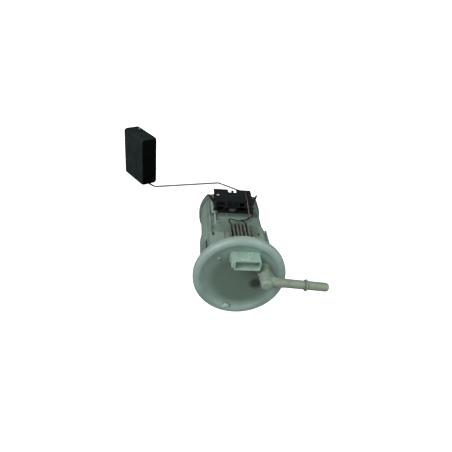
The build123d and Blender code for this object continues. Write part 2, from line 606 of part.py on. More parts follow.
def regulator_oring():
    """Seal on the regulator's neck."""
    low = REG_SEAT_Z - 4.0
    return ring(REG_BORE - 0.02, REG_NECK_R + 0.02, low, low + 1.8, REG_X, REG_Y)


def regulator_clip():
    """Spring-steel clip ring over the crimped flange, hooked under the manifold socket."""
    z = REG_SEAT_Z
    strap = ring(REG_R + 1.05, REG_CAN_R + FIT, z + 8.5, z + 9.3, REG_X, REG_Y)
    for side in (-1, 1):
        y = REG_Y + side * (REG_R + 0.65)
        strap += block(REG_X - 2.5, REG_X + 2.5, y - 0.4, y + 0.4, z - 3.4, z + 9.3)
        near = REG_Y + side * (REG_BORE + SOCKET_WALL + FIT)
        low, high = sorted((near, y))
        strap += block(REG_X - 2.5, REG_X + 2.5, low, high, z - 3.4, z - 2.6)
    return strap


# ------------------------------------------------------------------ turbine pump
CHAMBER_TOP = PUMP_END + 15.0                 # upper face of the chamber plate
IMPELLER_Z = PUMP_END + 8.0                   # lower face of the impeller
SHELL_IN = PUMP_R - PUMP_WALL
COVER_LOW = PUMP_TOP - 9.0                    # lower face of the outlet cover


def pump_casing():
    """Drawn steel shell, rolled in over the covers at both ends."""
    low = PUMP_END + 2.4
    points = [(SHELL_IN, low + 1.2), (SHELL_IN - 2.2, low + 1.2 - 0.9), (SHELL_IN - 2.2, low - 0.9)]
    points += [(PUMP_R, low), (PUMP_R, PUMP_TOP), (SHELL_IN - 2.2, PUMP_TOP + 0.9)]
    points += [(SHELL_IN - 2.2, PUMP_TOP - 0.3), (SHELL_IN, PUMP_TOP - 1.2)]
    return turned(points, CASE_X, 0, rounds=[0, 0, 0, 1.0, 1.0, 0, 0, 0])


def pump_outlet_cover():
    """Plastic cover with the outlet nipple, a bush seat and two terminal posts."""
    r = SHELL_IN - 0.02
    top = PUMP_TOP - 1.25
    points = [(SHAFT_R + 1.4, COVER_LOW), (r, COVER_LOW), (r, top), (SHELL_IN - 2.3, top + 0.8)]
    points += [(SHELL_IN - 2.3, PUMP_TOP + 1.6), (0, PUMP_TOP + 1.6), (0, COVER_LOW + 5.2)]
    points += [(SHAFT_R + 1.4, COVER_LOW + 5.2)]
    cover = turned(points, CASE_X, 0, rounds=[0, 0.4, 0, 0, 1.2, 0, 0, 0])
    nipple = turned([(0, PUMP_TOP), (NIPPLE_R, PUMP_TOP), (NIPPLE_R, NIPPLE_TOP), (0, NIPPLE_TOP)],
                    CASE_X, 0, rounds=[0, 0, 0.8, 0])
    cover += nipple
    for angle in (60, 240):
        post = Pos(CASE_X, 0, PUMP_TOP + 3.2) * Rot(Z=angle) * Pos(11, 0, 0) * Box(5.0, 6.4, 5.0)
        cover += post
    way = cyl(BORE_R, COVER_LOW + 5.1, NIPPLE_TOP + 1, CASE_X)
    for angle in (0, 180):
        port = Pos(CASE_X, 0, COVER_LOW + 3) * Rot(Z=angle) * Pos(9, 0, 0) * Cylinder(1.6, 8)
        cross = Pos(CASE_X, 0, COVER_LOW + 6.4) * Rot(Z=angle) * Pos(5, 0, 0) * Box(10, 2.4, 2.4)
        way += port + cross
    return cover - way


def pump_inlet_cover():
    """Die-cast inlet cover with the inlet stub, flow groove and thrust seat."""
    r = SHELL_IN - 0.02
    low = PUMP_END + 1.8
    points = [(0, PUMP_END), (SHELL_IN - 2.3, PUMP_END), (SHELL_IN - 2.3, low + 1.0), (r, low + 2.1)]
    points += [(r, IMPELLER_Z - 0.1), (0, IMPELLER_Z - 0.1)]
    cover = turned(points, CASE_X, 0)
    cover += cyl(INLET_R, PUMP_END - INLET_LEN, PUMP_END, CASE_X)
    cover -= cyl(INLET_R - 1.3, PUMP_END - INLET_LEN - 1, IMPELLER_Z - 3.4, CASE_X)
    groove = ring(IMPELLER_R - 0.6, IMPELLER_R - 4.0, IMPELLER_Z - 1.8, IMPELLER_Z, CASE_X)
    groove -= Pos(CASE_X, 0, IMPELLER_Z) * Rot(Z=200) * Pos(12, 0, 0) * Box(10, 6, 6)
    port = Pos(CASE_X, 0, IMPELLER_Z - 3) * Rot(Z=180) * Pos(7.0, 0, 0) * Box(13, 4, 3)
    return cover - groove - port


def chamber_plate():
    """Upper wall of the pumping chamber, with its spacer rim, shaft bush and outlet port."""
    r = SHELL_IN - 0.02
    top = IMPELLER_Z + IMPELLER_T + 0.1
    points = [(SHAFT_R + SHAFT_FIT, top), (IMPELLER_R + 0.15, top), (IMPELLER_R + 0.15, IMPELLER_Z - 0.05)]
    points += [(r, IMPELLER_Z - 0.05), (r, CHAMBER_TOP), (5.0, CHAMBER_TOP), (5.0, CHAMBER_TOP + 2.2)]
    points += [(SHAFT_R + SHAFT_FIT, CHAMBER_TOP + 2.2)]
    plate = turned(points, CASE_X, 0)
    groove = ring(IMPELLER_R - 0.6, IMPELLER_R - 4.0, top - 1, top + 1.6, CASE_X)
    groove -= Pos(CASE_X, 0, top) * Rot(Z=200) * Pos(12, 0, 0) * Box(10, 6, 6)
    port = Pos(CASE_X, 0, CHAMBER_TOP - 2) * Rot(Z=170) * Pos(12.2, 0, 0) * Cylinder(1.6, 12)
    return plate - groove - port


def impeller():
    """Turbine impeller: a disc with vanes cut round both edges and a flatted bore."""
    disc = cyl(IMPELLER_R, IMPELLER_Z, IMPELLER_Z + IMPELLER_T, CASE_X)
    cell = Pos(IMPELLER_R - 1.6, 0, 0) * Box(2.6, 2.6, 1.35)
    for z in (IMPELLER_Z + 0.6, IMPELLER_Z + IMPELLER_T - 0.6):
        cells = [Pos(CASE_X, 0, z) * Rot(Z=360 / IMPELLER_VANES * i) * cell for i in range(IMPELLER_VANES)]
        disc -= cells
    bore = cyl(SHAFT_R, IMPELLER_Z - 1, IMPELLER_Z + IMPELLER_T + 1, CASE_X)
    bore -= block(CASE_X + FLAT_AT, CASE_X + 4, -4, 4, IMPELLER_Z - 2, IMPELLER_Z + IMPELLER_T + 2)
    return disc - bore


FLAT_AT = SHAFT_R - 0.5                       # drive flat of the shaft
STACK_LOW = CHAMBER_TOP + 6.0                 # ends of the lamination stack
STACK_TOP = COVER_LOW - 9.0
WINDING_R = STACK_R - 2.2                     # end turns of the winding
WINDING_H = 3.2
WINDING_ROUND = 1.3


def armature():
    """Shaft with drive flat, slotted lamination stack and commutator."""
    shaft = cyl(SHAFT_R, IMPELLER_Z + 0.2, COVER_LOW + 4.8, CASE_X)
    shaft -= block(CASE_X + FLAT_AT, CASE_X + 4, -4, 4, IMPELLER_Z - 1, IMPELLER_Z + IMPELLER_T + 0.05)
    stack = cyl(STACK_R, STACK_LOW, STACK_TOP, CASE_X)
    height = STACK_TOP - STACK_LOW
    for i in range(STACK_SLOTS):
        turn = Pos(CASE_X, 0, (STACK_LOW + STACK_TOP) / 2) * Rot(Z=360 / STACK_SLOTS * i)
        stack -= turn * Pos(STACK_R, 0, 0) * Box(3.0, 1.6, height + 2)
        stack -= turn * Pos(STACK_R - 3.9, 0, 0) * Box(5.4, 3.4, height + 2)
    commutator = cyl(6.2, COVER_LOW - 5.6, COVER_LOW - 0.6, CASE_X)
    return shaft + stack + commutator


def armature_windings():
    """Copper end turns at both ends of the stack."""
    heads = []
    for z0, z1 in ((STACK_LOW - WINDING_H, STACK_LOW), (STACK_TOP, STACK_TOP + WINDING_H)):
        points = [(SHAFT_R, z0), (WINDING_R, z0), (WINDING_R, z1), (SHAFT_R, z1)]
        heads.append(turned(points, CASE_X, 0, rounds=[0, WINDING_ROUND, WINDING_ROUND, 0]))
    return Compound(children=heads)


def pump_magnets():
    """Two arc magnets held against the inside of the shell."""
    low, top = CHAMBER_TOP + 0.2, COVER_LOW - 0.2
    outer = SHELL_IN - 0.02
    arcs = [sector(outer, outer - MAGNET_T, low, top, start, start + MAGNET_ARC) for start in (25, 205)]
    return Compound(children=arcs)


CUSHION_R = 15.5                              # rubber cushion under the pump
CUSHION_STEP = 2.0


def pump_isolator():
    """Rubber cushion between the pump's inlet cover and the end cap."""
    low = CAP_END + CAP_FLOOR + 0.02
    top = PUMP_END - 0.02
    bore = INLET_R + INLET_ROOM
    neck = CUSHION_R - CUSHION_STEP
    points = [(bore, low), (neck, low), (CUSHION_R, low + 2.5), (CUSHION_R, top), (bore, top)]
    return turned(points, CASE_X, 0, rounds=[0, 1.0, 1.0, 0.8, 0])


def filter_element():
    """Pleated filter between two C-shaped end rings, wrapped round the pump."""
    low, top = FILTER_END + FILTER_RING_H, FILTER_TOP - FILTER_RING_H
    end_rings = sector(FILTER_OUT, FILTER_IN - 1, FILTER_END, low, FILTER_FROM, FILTER_TO)
    end_rings += sector(FILTER_OUT, FILTER_IN - 1, top, FILTER_TOP, FILTER_FROM, FILTER_TO)
    step = (FILTER_TO - FILTER_FROM - 6) / FILTER_PLEATS
    outer, inner = [], []
    for i in range(FILTER_PLEATS + 1):
        angle = math.radians(FILTER_FROM + 3 + step * i)
        radius = FILTER_OUT - 1.0 if i % 2 else FILTER_IN + PLEAT_T + 0.6
        outer.append((radius * math.cos(angle), radius * math.sin(angle)))
        inner.append(((radius - PLEAT_T) * math.cos(angle), (radius - PLEAT_T) * math.sin(angle)))
    pleats = make_face(Polyline(*(outer + inner[::-1]), close=True))
    return end_rings + Pos(CASE_X, 0, low) * extrude(pleats, top - low)


def suction_strainer():
    """Mesh bag with a welded hem and a neck that pushes into the pump's inlet."""
    top = CAP_END - STRAINER_DROP
    bag = Pos(CASE_X, 0, top - STRAINER_T) * extrude(RectangleRounded(STRAINER_L, STRAINER_W, 9), STRAINER_T)
    bag = fillet(bag.faces().filter_by(Axis.Z).edges(), STRAINER_T * 0.36)
    hem = extrude(RectangleRounded(STRAINER_L + 3, STRAINER_W + 3, 10.5), 1.0)
    bag += Pos(CASE_X, 0, top - STRAINER_T / 2 - 0.5) * hem
    neck_r = INLET_R - 1.3 - 0.02
    bag += cyl(INLET_R + 1.4, top - 0.5, PUMP_END - INLET_LEN - SEAT, CASE_X)
    bag += cyl(neck_r, top - 0.5, PUMP_END - INLET_LEN + 5, CASE_X)
    return bag - cyl(neck_r - 1.2, top - 2.5, PUMP_END, CASE_X)


# ------------------------------------------------------------------ terminal comb
def fin_places():
    """X places of the comb's fins, from -X to +X."""
    half = (len(FIN_SHORT) - 1) / 2
    return [COMB_X + COMB_PITCH * (i - half) for i in range(len(FIN_SHORT))]


COMB_LOW = UPPER_FLAT + FIT / 2               # the comb rests on the upper case's flat


def terminal_comb():
    """Terminal comb with stepped fins, a base on the case and a foot over the step."""
    x0, x1 = fin_places()[0] - COMB_FIN_T / 2, fin_places()[-1] + COMB_FIN_T / 2
    comb = block(x0, x1, -COMB_LOW - COMB_BASE, -COMB_LOW, UPPER_STEP, COMB_NEAR)
    foot = CASE_FLAT + FIT / 2
    left, right = x0 + COMB_PITCH, x1 - COMB_PITCH
    comb += block(left, right, -COMB_LOW - COMB_BASE, -foot, COMB_END, UPPER_STEP - FIT)
    comb += block(left, right, -COMB_LOW - COMB_BASE, -COMB_LOW, UPPER_STEP - 1, UPPER_STEP)
    for x, short in zip(fin_places(), FIN_SHORT):
        far = COMB_END + short
        fin = block(x - COMB_FIN_T / 2, x + COMB_FIN_T / 2, -COMB_TOP, -COMB_LOW - COMB_BASE + 0.2,
                    far, COMB_NEAR)
        comb += chamfer(fin.edges().filter_by(Axis.X).group_by(Axis.Z)[0].group_by(Axis.Y)[0], 2.2)
    for x in (COMB_X + COMB_PITCH * 0.5, COMB_X - COMB_PITCH * 2.5):
        comb += block(x - COMB_PITCH / 2, x + COMB_PITCH / 2, -COMB_TOP + 2.2, -COMB_LOW - COMB_BASE + 0.2,
                      -39.0, -31.0)
    return comb


def slot_places():
    """X places of the slots between the comb's fins."""
    fins = fin_places()
    return [(a + b) / 2 for a, b in zip(fins, fins[1:])]


TERMINAL_Y = COMB_LOW + COMB_BASE + FIT       # top of the comb's floor
LEAD_Y = TERMINAL_Y + 0.8 + LEAD_R            # lead axis where it lies in a terminal
LEAD_END = -38.5                              # the leads end in the comb here


def comb_terminals():
    """Crimp terminals that lie in the comb's slots and run up to the flange."""
    parts = []
    places = slot_places()
    for i in (0, 1, 2, 4, 5):
        x = places[i]
        half = 0.9
        far = LEAD_END - 2.5
        near = COMB_NEAR
        if i in (0, 2):
            far = -30.6
        strip = block(x - half, x + half, -TERMINAL_Y - 0.7, -TERMINAL_Y, far, near)
        parts.append(strip)
    return Compound(children=parts)


# ------------------------------------------------------------------ level sender
BASE_Y = CASE_FLAT + FIT / 2                  # underside of the sender base
PLATE_LOW = FRAME_TOP - PLATE_T               # underside of the cover plate
CARD_Y = BASE_Y + BASE_T + 4.4                # underside of the resistor card
EAR_W = 6.0                                   # release ear at its root
EAR_L = 12.5
WINDOWS = (12.8, 22.4), (3.4, 8.8), (-3.0, 2.0), (-10.4, -5.0)    # lattice of the front wall


def ear(x, side):
    """Pointed release ear that leans out to one side from a front corner of the frame."""
    lean = Vector(side, -0.76, -0.16).normalized()
    foot = Vector(x, -FRAME_TOP + 5.1, FRAME_Z1 - EAR_W / 2 - 0.4)
    root = Plane(origin=foot, x_dir=(0, 0, 1), z_dir=lean)
    tip = Plane(origin=foot + lean * EAR_L, x_dir=(0, 0, 1), z_dir=lean)
    return loft([root * Rectangle(EAR_W, 3.0), tip * Rectangle(2.2, 1.2)])


def sender_frame():
    """Sender frame: base plate, side wall, lattice front wall, legs, ears and pivot boss."""
    x0, x1, z0, z1 = FRAME_X0, FRAME_X1, FRAME_Z0, FRAME_Z1
    base_top = BASE_Y + BASE_T - FIT
    frame = block(x0 - FOOT_W, x1, -base_top, -BASE_Y, z0, z1)
    frame += block(x0, x0 + WALL_T, -PLATE_LOW, -base_top + 0.2, z0, z1)
    frame += block(x0, x1, -PLATE_LOW, -LATTICE_Y, z1 - WALL_T, z1)
    frame += block(x1 - 3.4, x1, -PLATE_LOW, -base_top + 0.2, z1 - WALL_T - 1.4, z1)
    frame += block(x0, x0 + 5.4, -PLATE_LOW, -base_top + 0.2, z1 - WALL_T, z1)
    low, high = -PLATE_LOW + 0.9, -LATTICE_Y - 1.1
    for left, right in WINDOWS:
        frame -= block(left, right, low, high, z1 - WALL_T - 1, z1 + 1)
    frame += block(-4.0, 9.8, -PLATE_LOW + 2.5, -PLATE_LOW + 3.3, z1 - WALL_T, z1 - 0.3)
    frame += block(9.6, 12.0, -PLATE_LOW, -LATTICE_Y + 1.2, z1 - WALL_T, z1 + 0.8)
    frame += ear(x1 - 1.0, 0.66) + ear(x0 + 0.6, -0.32)
    frame -= block(x0, x1, -FRAME_TOP - 1, -PLATE_LOW, z0, z1)
    frame += peg(BOSS_R, -BOSS_TOP, -base_top + 0.2, PIVOT_X, PIVOT_Z)
    for x, z in ((x1 - 3.4, z0 + 6.2), (x1 - 12.4, z1 - 5.0), (x1 - 3.4, z1 - 6.4)):
        frame += peg(1.7, -CARD_Y, -base_top + 0.2, x, z)
    frame += peg(PIN_R, -FRAME_TOP + 0.3, -base_top + 0.2, PIN_X, PIN_Z)
    frame -= peg(WIRE_R + PIVOT_FIT, -BOSS_TOP - 1, -BASE_Y - 0.6, PIVOT_X, PIVOT_Z)
    frame -= peg(BUTTON_R - 2.2 + FIT, -base_top - 1, 0, BUTTON_X, BUTTON_Z)
    return frame


def sender_cover():
    """Cover plate with notch, stop finger, locating hole, lead channel and edge lip."""
    x0, x1, z0, z1 = FRAME_X0, FRAME_X1, FRAME_Z0, FRAME_Z1
    plate = block(x0, x1, -FRAME_TOP, -PLATE_LOW, z0, z1)
    notch = block(-2.6, 7.4, -FRAME_TOP - 1, -PLATE_LOW + 1, z0 - 1, z0 + 7.4)
    notch = fillet(notch.edges().filter_by(Axis.Y).group_by(Axis.Z)[-1], 2.0)
    plate -= notch
    plate += block(1.2, 3.2, -FRAME_TOP, -PLATE_LOW, z0 + 3.2, z0 + 8)
    plate += peg(1.6, -FRAME_TOP, -PLATE_LOW, 2.2, z0 + 3.4)
    hole = peg(PIN_R + 1.0, -FRAME_TOP - 1, -PLATE_LOW + 1, PIN_X, PIN_Z)
    plate += peg(PIN_R + 1.9, -FRAME_TOP - 0.7, -PLATE_LOW, PIN_X, PIN_Z)
    plate -= hole
    for x in (LEAD_TOP_X - 1.5, LEAD_TOP_X + 1.5):
        plate += block(x - 0.35, x + 0.35, -FRAME_TOP - 1.2, -FRAME_TOP + 0.3, z0 + 10, z1 - 1.0)
    plate += block(LEAD_TOP_X - 4.4, LEAD_TOP_X - 1.5, -FRAME_TOP - 0.8, -FRAME_TOP + 0.3, z1 - 4.0, z1 - 1.0)
    return plate


LEAD_TOP_X = -13.0                            # red lead on the cover plate
PIN_X = FRAME_X1 - 4.5                        # locating pin through the card and the cover
PIN_Z = FRAME_Z0 + 15.8
PIN_R = 1.3


def base_button():
    """Button that locks the sender base onto its peg on the case."""
    top = CASE_FLAT + BASE_T + 2.6
    low = BASE_Y + BASE_T
    button = peg(BUTTON_R, -top, -low, BUTTON_X, BUTTON_Z)
    button = fillet(button.edges().sort_by(Axis.Y)[0], 0.9)
    return button - peg(BUTTON_R - 2.2 + 0.02, -CASE_FLAT - BASE_T - 1.05, 0, BUTTON_X, BUTTON_Z)


def resistor_card():
    """Ceramic card with a curved edge that clears the pivot boss."""
    card = block(-5.0, FRAME_X1 - 0.8, -CARD_Y - CARD_T, -CARD_Y, FRAME_Z0 + 2.4, FRAME_Z1 - WALL_T - 2.2)
    card -= peg(PIN_R + FIT, -60, 0, PIN_X, PIN_Z)
    return card - peg(BOSS_R + 2.2, -60, 0, PIVOT_X, PIVOT_Z)


def card_tracks():
    """Contact segments on the card, arranged on an arc about the pivot."""
    low, high = -CARD_Y - CARD_T - 0.12, -CARD_Y - CARD_T
    parts = []
    for i in range(11):
        angle = math.radians(ARM_REACH - 24 + 7.2 * i)
        for radius in (WIPER_LEN - 1.2, WIPER_LEN + 4.4):
            x = PIVOT_X + radius * math.cos(angle)
            z = PIVOT_Z + radius * math.sin(angle)
            if z > FRAME_Z1 - WALL_T - 4 or z < FRAME_Z0 + 4:
                continue
            pad = Box(3.0, abs(high - low), 1.2)
            parts.append(Pos(x, (low + high) / 2, z) * Rot(Y=-math.degrees(angle)) * pad)
    return Compound(children=parts)


HUB_LOW = BOSS_TOP + 0.25                     # underside of the hub
HUB_TOP = WIRE_Y + 0.6                        # top of the hub, level with the wire's upper side


def arm_path():
    """Arm wire from the pivot leg, round the bends and up through the float."""
    first = (PIVOT_X, -BASE_Y - 1.0, PIVOT_Z)
    corner = (PIVOT_X, -WIRE_Y, PIVOT_Z)
    bends = [(x, -WIRE_Y, z) for x, z in ARM_POINTS]
    x, z = ARM_POINTS[-1]
    last = (x, -FLOAT_Y - FLOAT_L - 3.4, z)
    return [first, corner, *bends, last]


def float_arm():
    """Stainless arm wire: pivot leg, two bends beside the case, float leg."""
    points = arm_path()
    arm, path = bent_tube(points, [2.2] + [ARM_BEND] * (len(points) - 3), WIRE_R)
    print(f"float arm: wire length {path.length:.1f} mm")
    return arm


def arm_hub(wire):
    """Arm holder: hub on the wire's pivot leg, jaw round the wire, contact arm."""
    hub = peg(HUB_R, -HUB_TOP, -HUB_LOW, PIVOT_X, PIVOT_Z)
    reach = Pos(PIVOT_X, -HUB_LOW - 0.7, PIVOT_Z) * Rot(Y=-ARM_REACH) * Pos(WIPER_LEN / 2, 0, 0)
    hub += reach * Box(WIPER_LEN, 1.4, 4.4)
    x, z = ARM_POINTS[0]
    way = math.degrees(math.atan2(z - PIVOT_Z, x - PIVOT_X))
    jaw = Pos(PIVOT_X, -(HUB_TOP + HUB_LOW) / 2, PIVOT_Z) * Rot(Y=-way) * Pos(4.0, 0, 0)
    hub += jaw * Box(8.0, HUB_TOP - HUB_LOW, 4.6)
    return hub - wire


def contact_wiper():
    """Two-finger spring contact under the arm holder."""
    carrier = Pos(PIVOT_X, 0, PIVOT_Z) * Rot(Y=-ARM_REACH)
    low = CARD_Y + CARD_T + 0.16
    blade = Pos(WIPER_LEN - 3.0, -HUB_LOW + 0.2, 0) * Box(9.0, 0.3, 3.6)
    for side in (-1, 1):
        finger = Pos(WIPER_LEN - 1.2, -(low + HUB_LOW - 0.2) / 2, side) * Box(1.0, HUB_LOW - 0.2 - low, 0.9)
        blade += finger
    return carrier * blade


# ------------------------------------------------------------------ float
def float_frame():
    """Location on the float's wire axis at its near face, X along the width, Z along -Y."""
    x, z = ARM_POINTS[-1]
    return Pos(x, -FLOAT_Y, z) * Rot(Y=FLOAT_TILT) * Rot(X=90)


def foam_float():
    """Rectangular foam float with rounded edges and a hole for the arm."""
    body = Pos(FLOAT_SHIFT[0], FLOAT_SHIFT[1], FLOAT_L / 2) * Box(FLOAT_W, FLOAT_T, FLOAT_L)
    body = fillet(body.edges(), FLOAT_ROUND)
    body -= Pos(0, 0, FLOAT_L / 2) * Cylinder(WIRE_R + FLOAT_FIT, FLOAT_L + 2)
    return float_frame() * body


def float_clip():
    """Push-on retaining clip at the tip of the arm."""
    body = Cylinder(CLIP_R, 0.8, align=MIN_BOTTOM) + Cylinder(1.9, 1.9, align=MIN_BOTTOM)
    for angle in (0, 120, 240):
        body -= Rot(Z=angle) * Pos(CLIP_R, 0, 0.4) * Box(2.0, 1.0, 2.0)
    body -= Cylinder(WIRE_R + 0.02, 8)
    return float_frame() * Pos(0, 0, FLOAT_L + SEAT) * body


# ------------------------------------------------------------------ sender leads
def cord_radii(points):
    """Arc radii of a cord: 0.45 of the shorter run over the tangent of half the turn."""
    radii = []
    for a, b, c in zip(points, points[1:], points[2:]):
        first, second = Vector(*b) - Vector(*a), Vector(*c) - Vector(*b)
        half_turn = math.radians(first.get_angle(second)) / 2
        radii.append(0.45 * min(first.length, second.length) / math.tan(half_turn))
    return radii


def sender_lead(name, points):
    """Insulated lead along its route, with its measures printed."""
    radii = cord_radii(points)
    lead, path = bent_tube(points, radii, LEAD_R)
    expected = math.pi * LEAD_R ** 2 * path.length
    print(f"{name}: length {path.length:.1f} mm, radii {', '.join(f'{r:.1f}' for r in radii)}")
    print(f"{name}: volume {lead.volume:.2f} mm3, section times length {expected:.2f} mm3")
    return lead


SLOT_RED = slot_places()[1]
SLOT_BLACK = slot_places()[5]
TOP_LEAD_Y = -FRAME_TOP - LEAD_R - 0.1
RED_ROUTE = [
    (LEAD_TOP_X, TOP_LEAD_Y, -103.0),
    (LEAD_TOP_X, TOP_LEAD_Y - 0.1, -92.0),
    (-12.9, TOP_LEAD_Y - 0.5, -83.6),
    (-13.5, -36.4, -78.8),
    (-15.2, -30.4, -76.4),
    (-15.8, -26.6, -72.2),
    (-12.6, -25.9, -66.4),
    (-8.4, -27.4, -61.6),
    (SLOT_RED + 4.4, -29.2, -60.2),
    (SLOT_RED + 4.2, -30.2, -56.8),
    (SLOT_RED + 0.6, -29.9, -55.0),
    (SLOT_RED - 0.1, -28.8, -49.8),
    (SLOT_RED, -LEAD_Y, -44.0),
    (SLOT_RED, -LEAD_Y - 0.05, LEAD_END),
]
BLACK_ROUTE = [
    (-17.4, -32.6, -82.4),
    (-18.6, -32.0, -79.4),
    (-20.4, -29.6, -77.8),
    (-20.6, -26.4, -76.4),
    (-17.6, -24.6, -72.8),
    (-11.0, -24.5, -67.6),
    (-3.4, -25.6, -62.8),
    (3.2, -27.2, -62.6),
    (7.8, -28.8, -61.6),
    (SLOT_BLACK + 2.2, -30.0, -56.4),
    (SLOT_BLACK + 0.4, -29.6, -50.4),
    (SLOT_BLACK, -LEAD_Y - 0.3, -44.6),
    (SLOT_BLACK, -LEAD_Y - 0.05, LEAD_END),
]


def sender_clips():
    """Crimp clips that hold the leads on the sender."""
    x, y, z = RED_ROUTE[0]
    red = block(x - 0.9, x + 0.9, y - LEAD_R - 0.15, -FRAME_TOP - 0.02, z - 4.0, z - 0.05)
    x, y, z = BLACK_ROUTE[0]
    black = block(x - 0.9, x + 0.9, y - 0.9, y + 0.9, FRAME_Z1 + 0.02, z - 0.2)
    return Compound(children=[red, black])


# ------------------------------------------------------------------ build
def build():
    """Every node by name."""
    arm = float_arm()
    nodes = {
        "flange_cover": flange_cover(),
        "flange_seal": flange_seal(),
        "connector_housing": connector_housing(),
        "connector_blades": connector_blades(),
        "outlet_elbow": outlet_elbow(),
        "upper_case": upper_case(),
        "lower_case": lower_case(),
        "end_cap": end_cap(),
        "manifold": manifold(),
        "check_valve_poppet": check_valve_poppet(),
        "check_valve_spring": check_valve_spring(),
        "check_valve_retainer": check_valve_retainer(),
        "nipple_seal": nipple_seal(),
        "regulator_can": regulator_can(),
        "regulator_valve": regulator_valve(),
        "regulator_spring": regulator_spring(),
        "regulator_oring": regulator_oring(),
        "regulator_clip": regulator_clip(),
        "pump_casing": pump_casing(),
        "pump_outlet_cover": pump_outlet_cover(),
        "pump_inlet_cover": pump_inlet_cover(),
        "chamber_plate": chamber_plate(),
        "impeller": impeller(),
        "armature": armature(),
        "armature_windings": armature_windings(),
        "pump_magnets": pump_magnets(),
        "pump_isolator": pump_isolator(),
        "filter_element": filter_element(),
        "suction_strainer": suction_strainer(),
        "terminal_comb": terminal_comb(),
        "comb_terminals": comb_terminals(),
        "sender_frame": sender_frame(),
        "sender_cover": sender_cover(),
        "base_button": base_button(),
        "resistor_card": resistor_card(),
        "card_tracks": card_tracks(),
        "arm_hub": arm_hub(arm),
        "contact_wiper": contact_wiper(),
        "float_arm": arm,
        "foam_float": foam_float(),
        "float_clip": float_clip(),
        "sender_clips": sender_clips(),
        "red_lead": sender_lead("red_lead", RED_ROUTE),
        "black_lead": sender_lead("black_lead", BLACK_ROUTE),
    }
    return nodes


os.makedirs("parts", exist_ok=True)
for node_name, shape in build().items():
    export_step(shape, f"parts/{node_name}.step")
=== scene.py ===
"""Looks of an in-tank fuel pump module: moulded cover, case, level sender, float and leads."""
import logging
import math
from dataclasses import dataclass, replace
from enum import Enum
from typing import Any, Optional, Sequence

import bmesh
import bpy
from mathutils import Matrix, Vector


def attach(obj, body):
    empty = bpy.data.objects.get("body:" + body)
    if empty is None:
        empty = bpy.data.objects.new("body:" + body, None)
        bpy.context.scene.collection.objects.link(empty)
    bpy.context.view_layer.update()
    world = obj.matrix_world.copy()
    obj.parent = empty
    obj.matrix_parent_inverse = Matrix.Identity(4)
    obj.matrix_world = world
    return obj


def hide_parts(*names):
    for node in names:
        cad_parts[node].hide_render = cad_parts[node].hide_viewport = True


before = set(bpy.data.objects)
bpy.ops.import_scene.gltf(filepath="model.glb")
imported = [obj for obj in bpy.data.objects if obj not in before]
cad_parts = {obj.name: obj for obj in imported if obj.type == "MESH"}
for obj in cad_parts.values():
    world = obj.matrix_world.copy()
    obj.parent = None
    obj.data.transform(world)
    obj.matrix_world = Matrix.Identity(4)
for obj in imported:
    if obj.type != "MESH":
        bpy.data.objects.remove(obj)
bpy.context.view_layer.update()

Point = tuple[float, float]
Triple = tuple[float, float, float]
Options = Optional[dict[Any, Any]]

MM: float = 0.001
PER_METRE: float = 1000.0
IMAGE_WIDTH: int = 452
NO_TURN = Matrix.Identity(4)
EVEN: Triple = (1.0, 1.0, 1.0)
HARD_EDGE: float = 40.0  # degrees
LONGEST_EDGE: float = 3.0  # millimetres
CUT_ROUNDS: int = 6
MERGE: float = 1e-6  # metres
log = logging.getLogger("fuel_module")

# Places on the part, in millimetres
TOWER: Point = (-23.3, -11.4)
PLUG: Point = (-4.2, -24.55)
BEAD_FEET: Point = (-62.45, -65.2)
SPIGOT_TIP: float = -89.0
HOOK_X: float = 23.9
RAIL_X: float = 26.4
CORNER_X: float = 30.2
LOCATING_PIN: Triple = (20.6, -38.18, -98.8)


class Body(Enum):
    """Bodies that the pieces move with."""

    MODULE = "module"
    ARM = "arm"
    FLOAT = "float"


# ---- node trees
def shade(colour: Triple, factor: float = 1.0, lift: int = 0) -> tuple[float, ...]:
    """Linear colour of an sRGB triple from 0 to 255, made darker or lighter.

    Args:
        colour: the triple.
        factor: what each channel is multiplied by.
        lift: what is added to each channel.

    Returns:
        Linear RGBA.
    """
    values = [min(255, int(channel * factor) + lift) / 255 for channel in colour]
    linear = [v / 12.92 if v <= 0.04045 else ((v + 0.055) / 1.055) ** 2.4 for v in values]
    return (*linear, 1.0)


class Sig:
    """A socket that takes part in Python arithmetic."""

    def __init__(self, tree: "Tree", socket: bpy.types.NodeSocket) -> None:
        """Keep the socket and the tree that it belongs to."""
        self.tree = tree
        self.socket = socket

    def op(self, kind: str, *terms: Any) -> "Sig":
        """A Math node on the given terms.

        Args:
            kind: the node's operation.
            terms: signals or numbers.

        Returns:
            The node's result.
        """
        return self.tree.sig("ShaderNodeMath", {"operation": kind}, dict(enumerate(terms)))

    def __add__(self, other: Any) -> "Sig":
        """self + other."""
        return self.op("ADD", self, other)

    def __radd__(self, other: Any) -> "Sig":
        """other + self."""
        return self.op("ADD", other, self)

    def __sub__(self, other: Any) -> "Sig":
        """self - other."""
        return self.op("SUBTRACT", self, other)

    def __rsub__(self, other: Any) -> "Sig":
        """other - self."""
        return self.op("SUBTRACT", other, self)

    def __mul__(self, other: Any) -> "Sig":
        """self * other."""
        return self.op("MULTIPLY", self, other)

    def __rmul__(self, other: Any) -> "Sig":
        """other * self."""
        return self.op("MULTIPLY", other, self)

    def wave(self) -> "Sig":
        """Sine of the signal."""
        return self.op("SINE", self)

    def step(self, low: float, high: float) -> "Sig":
        """Smooth step from 0 at low to 1 at high.

        Args:
            low: value where the step starts.
            high: value where it ends.

        Returns:
            The mask.
        """
        return self.tree.sig("ShaderNodeMapRange", {"interpolation_type": "SMOOTHSTEP"},
                             {"Value": self, "From Min": low, "From Max": high})


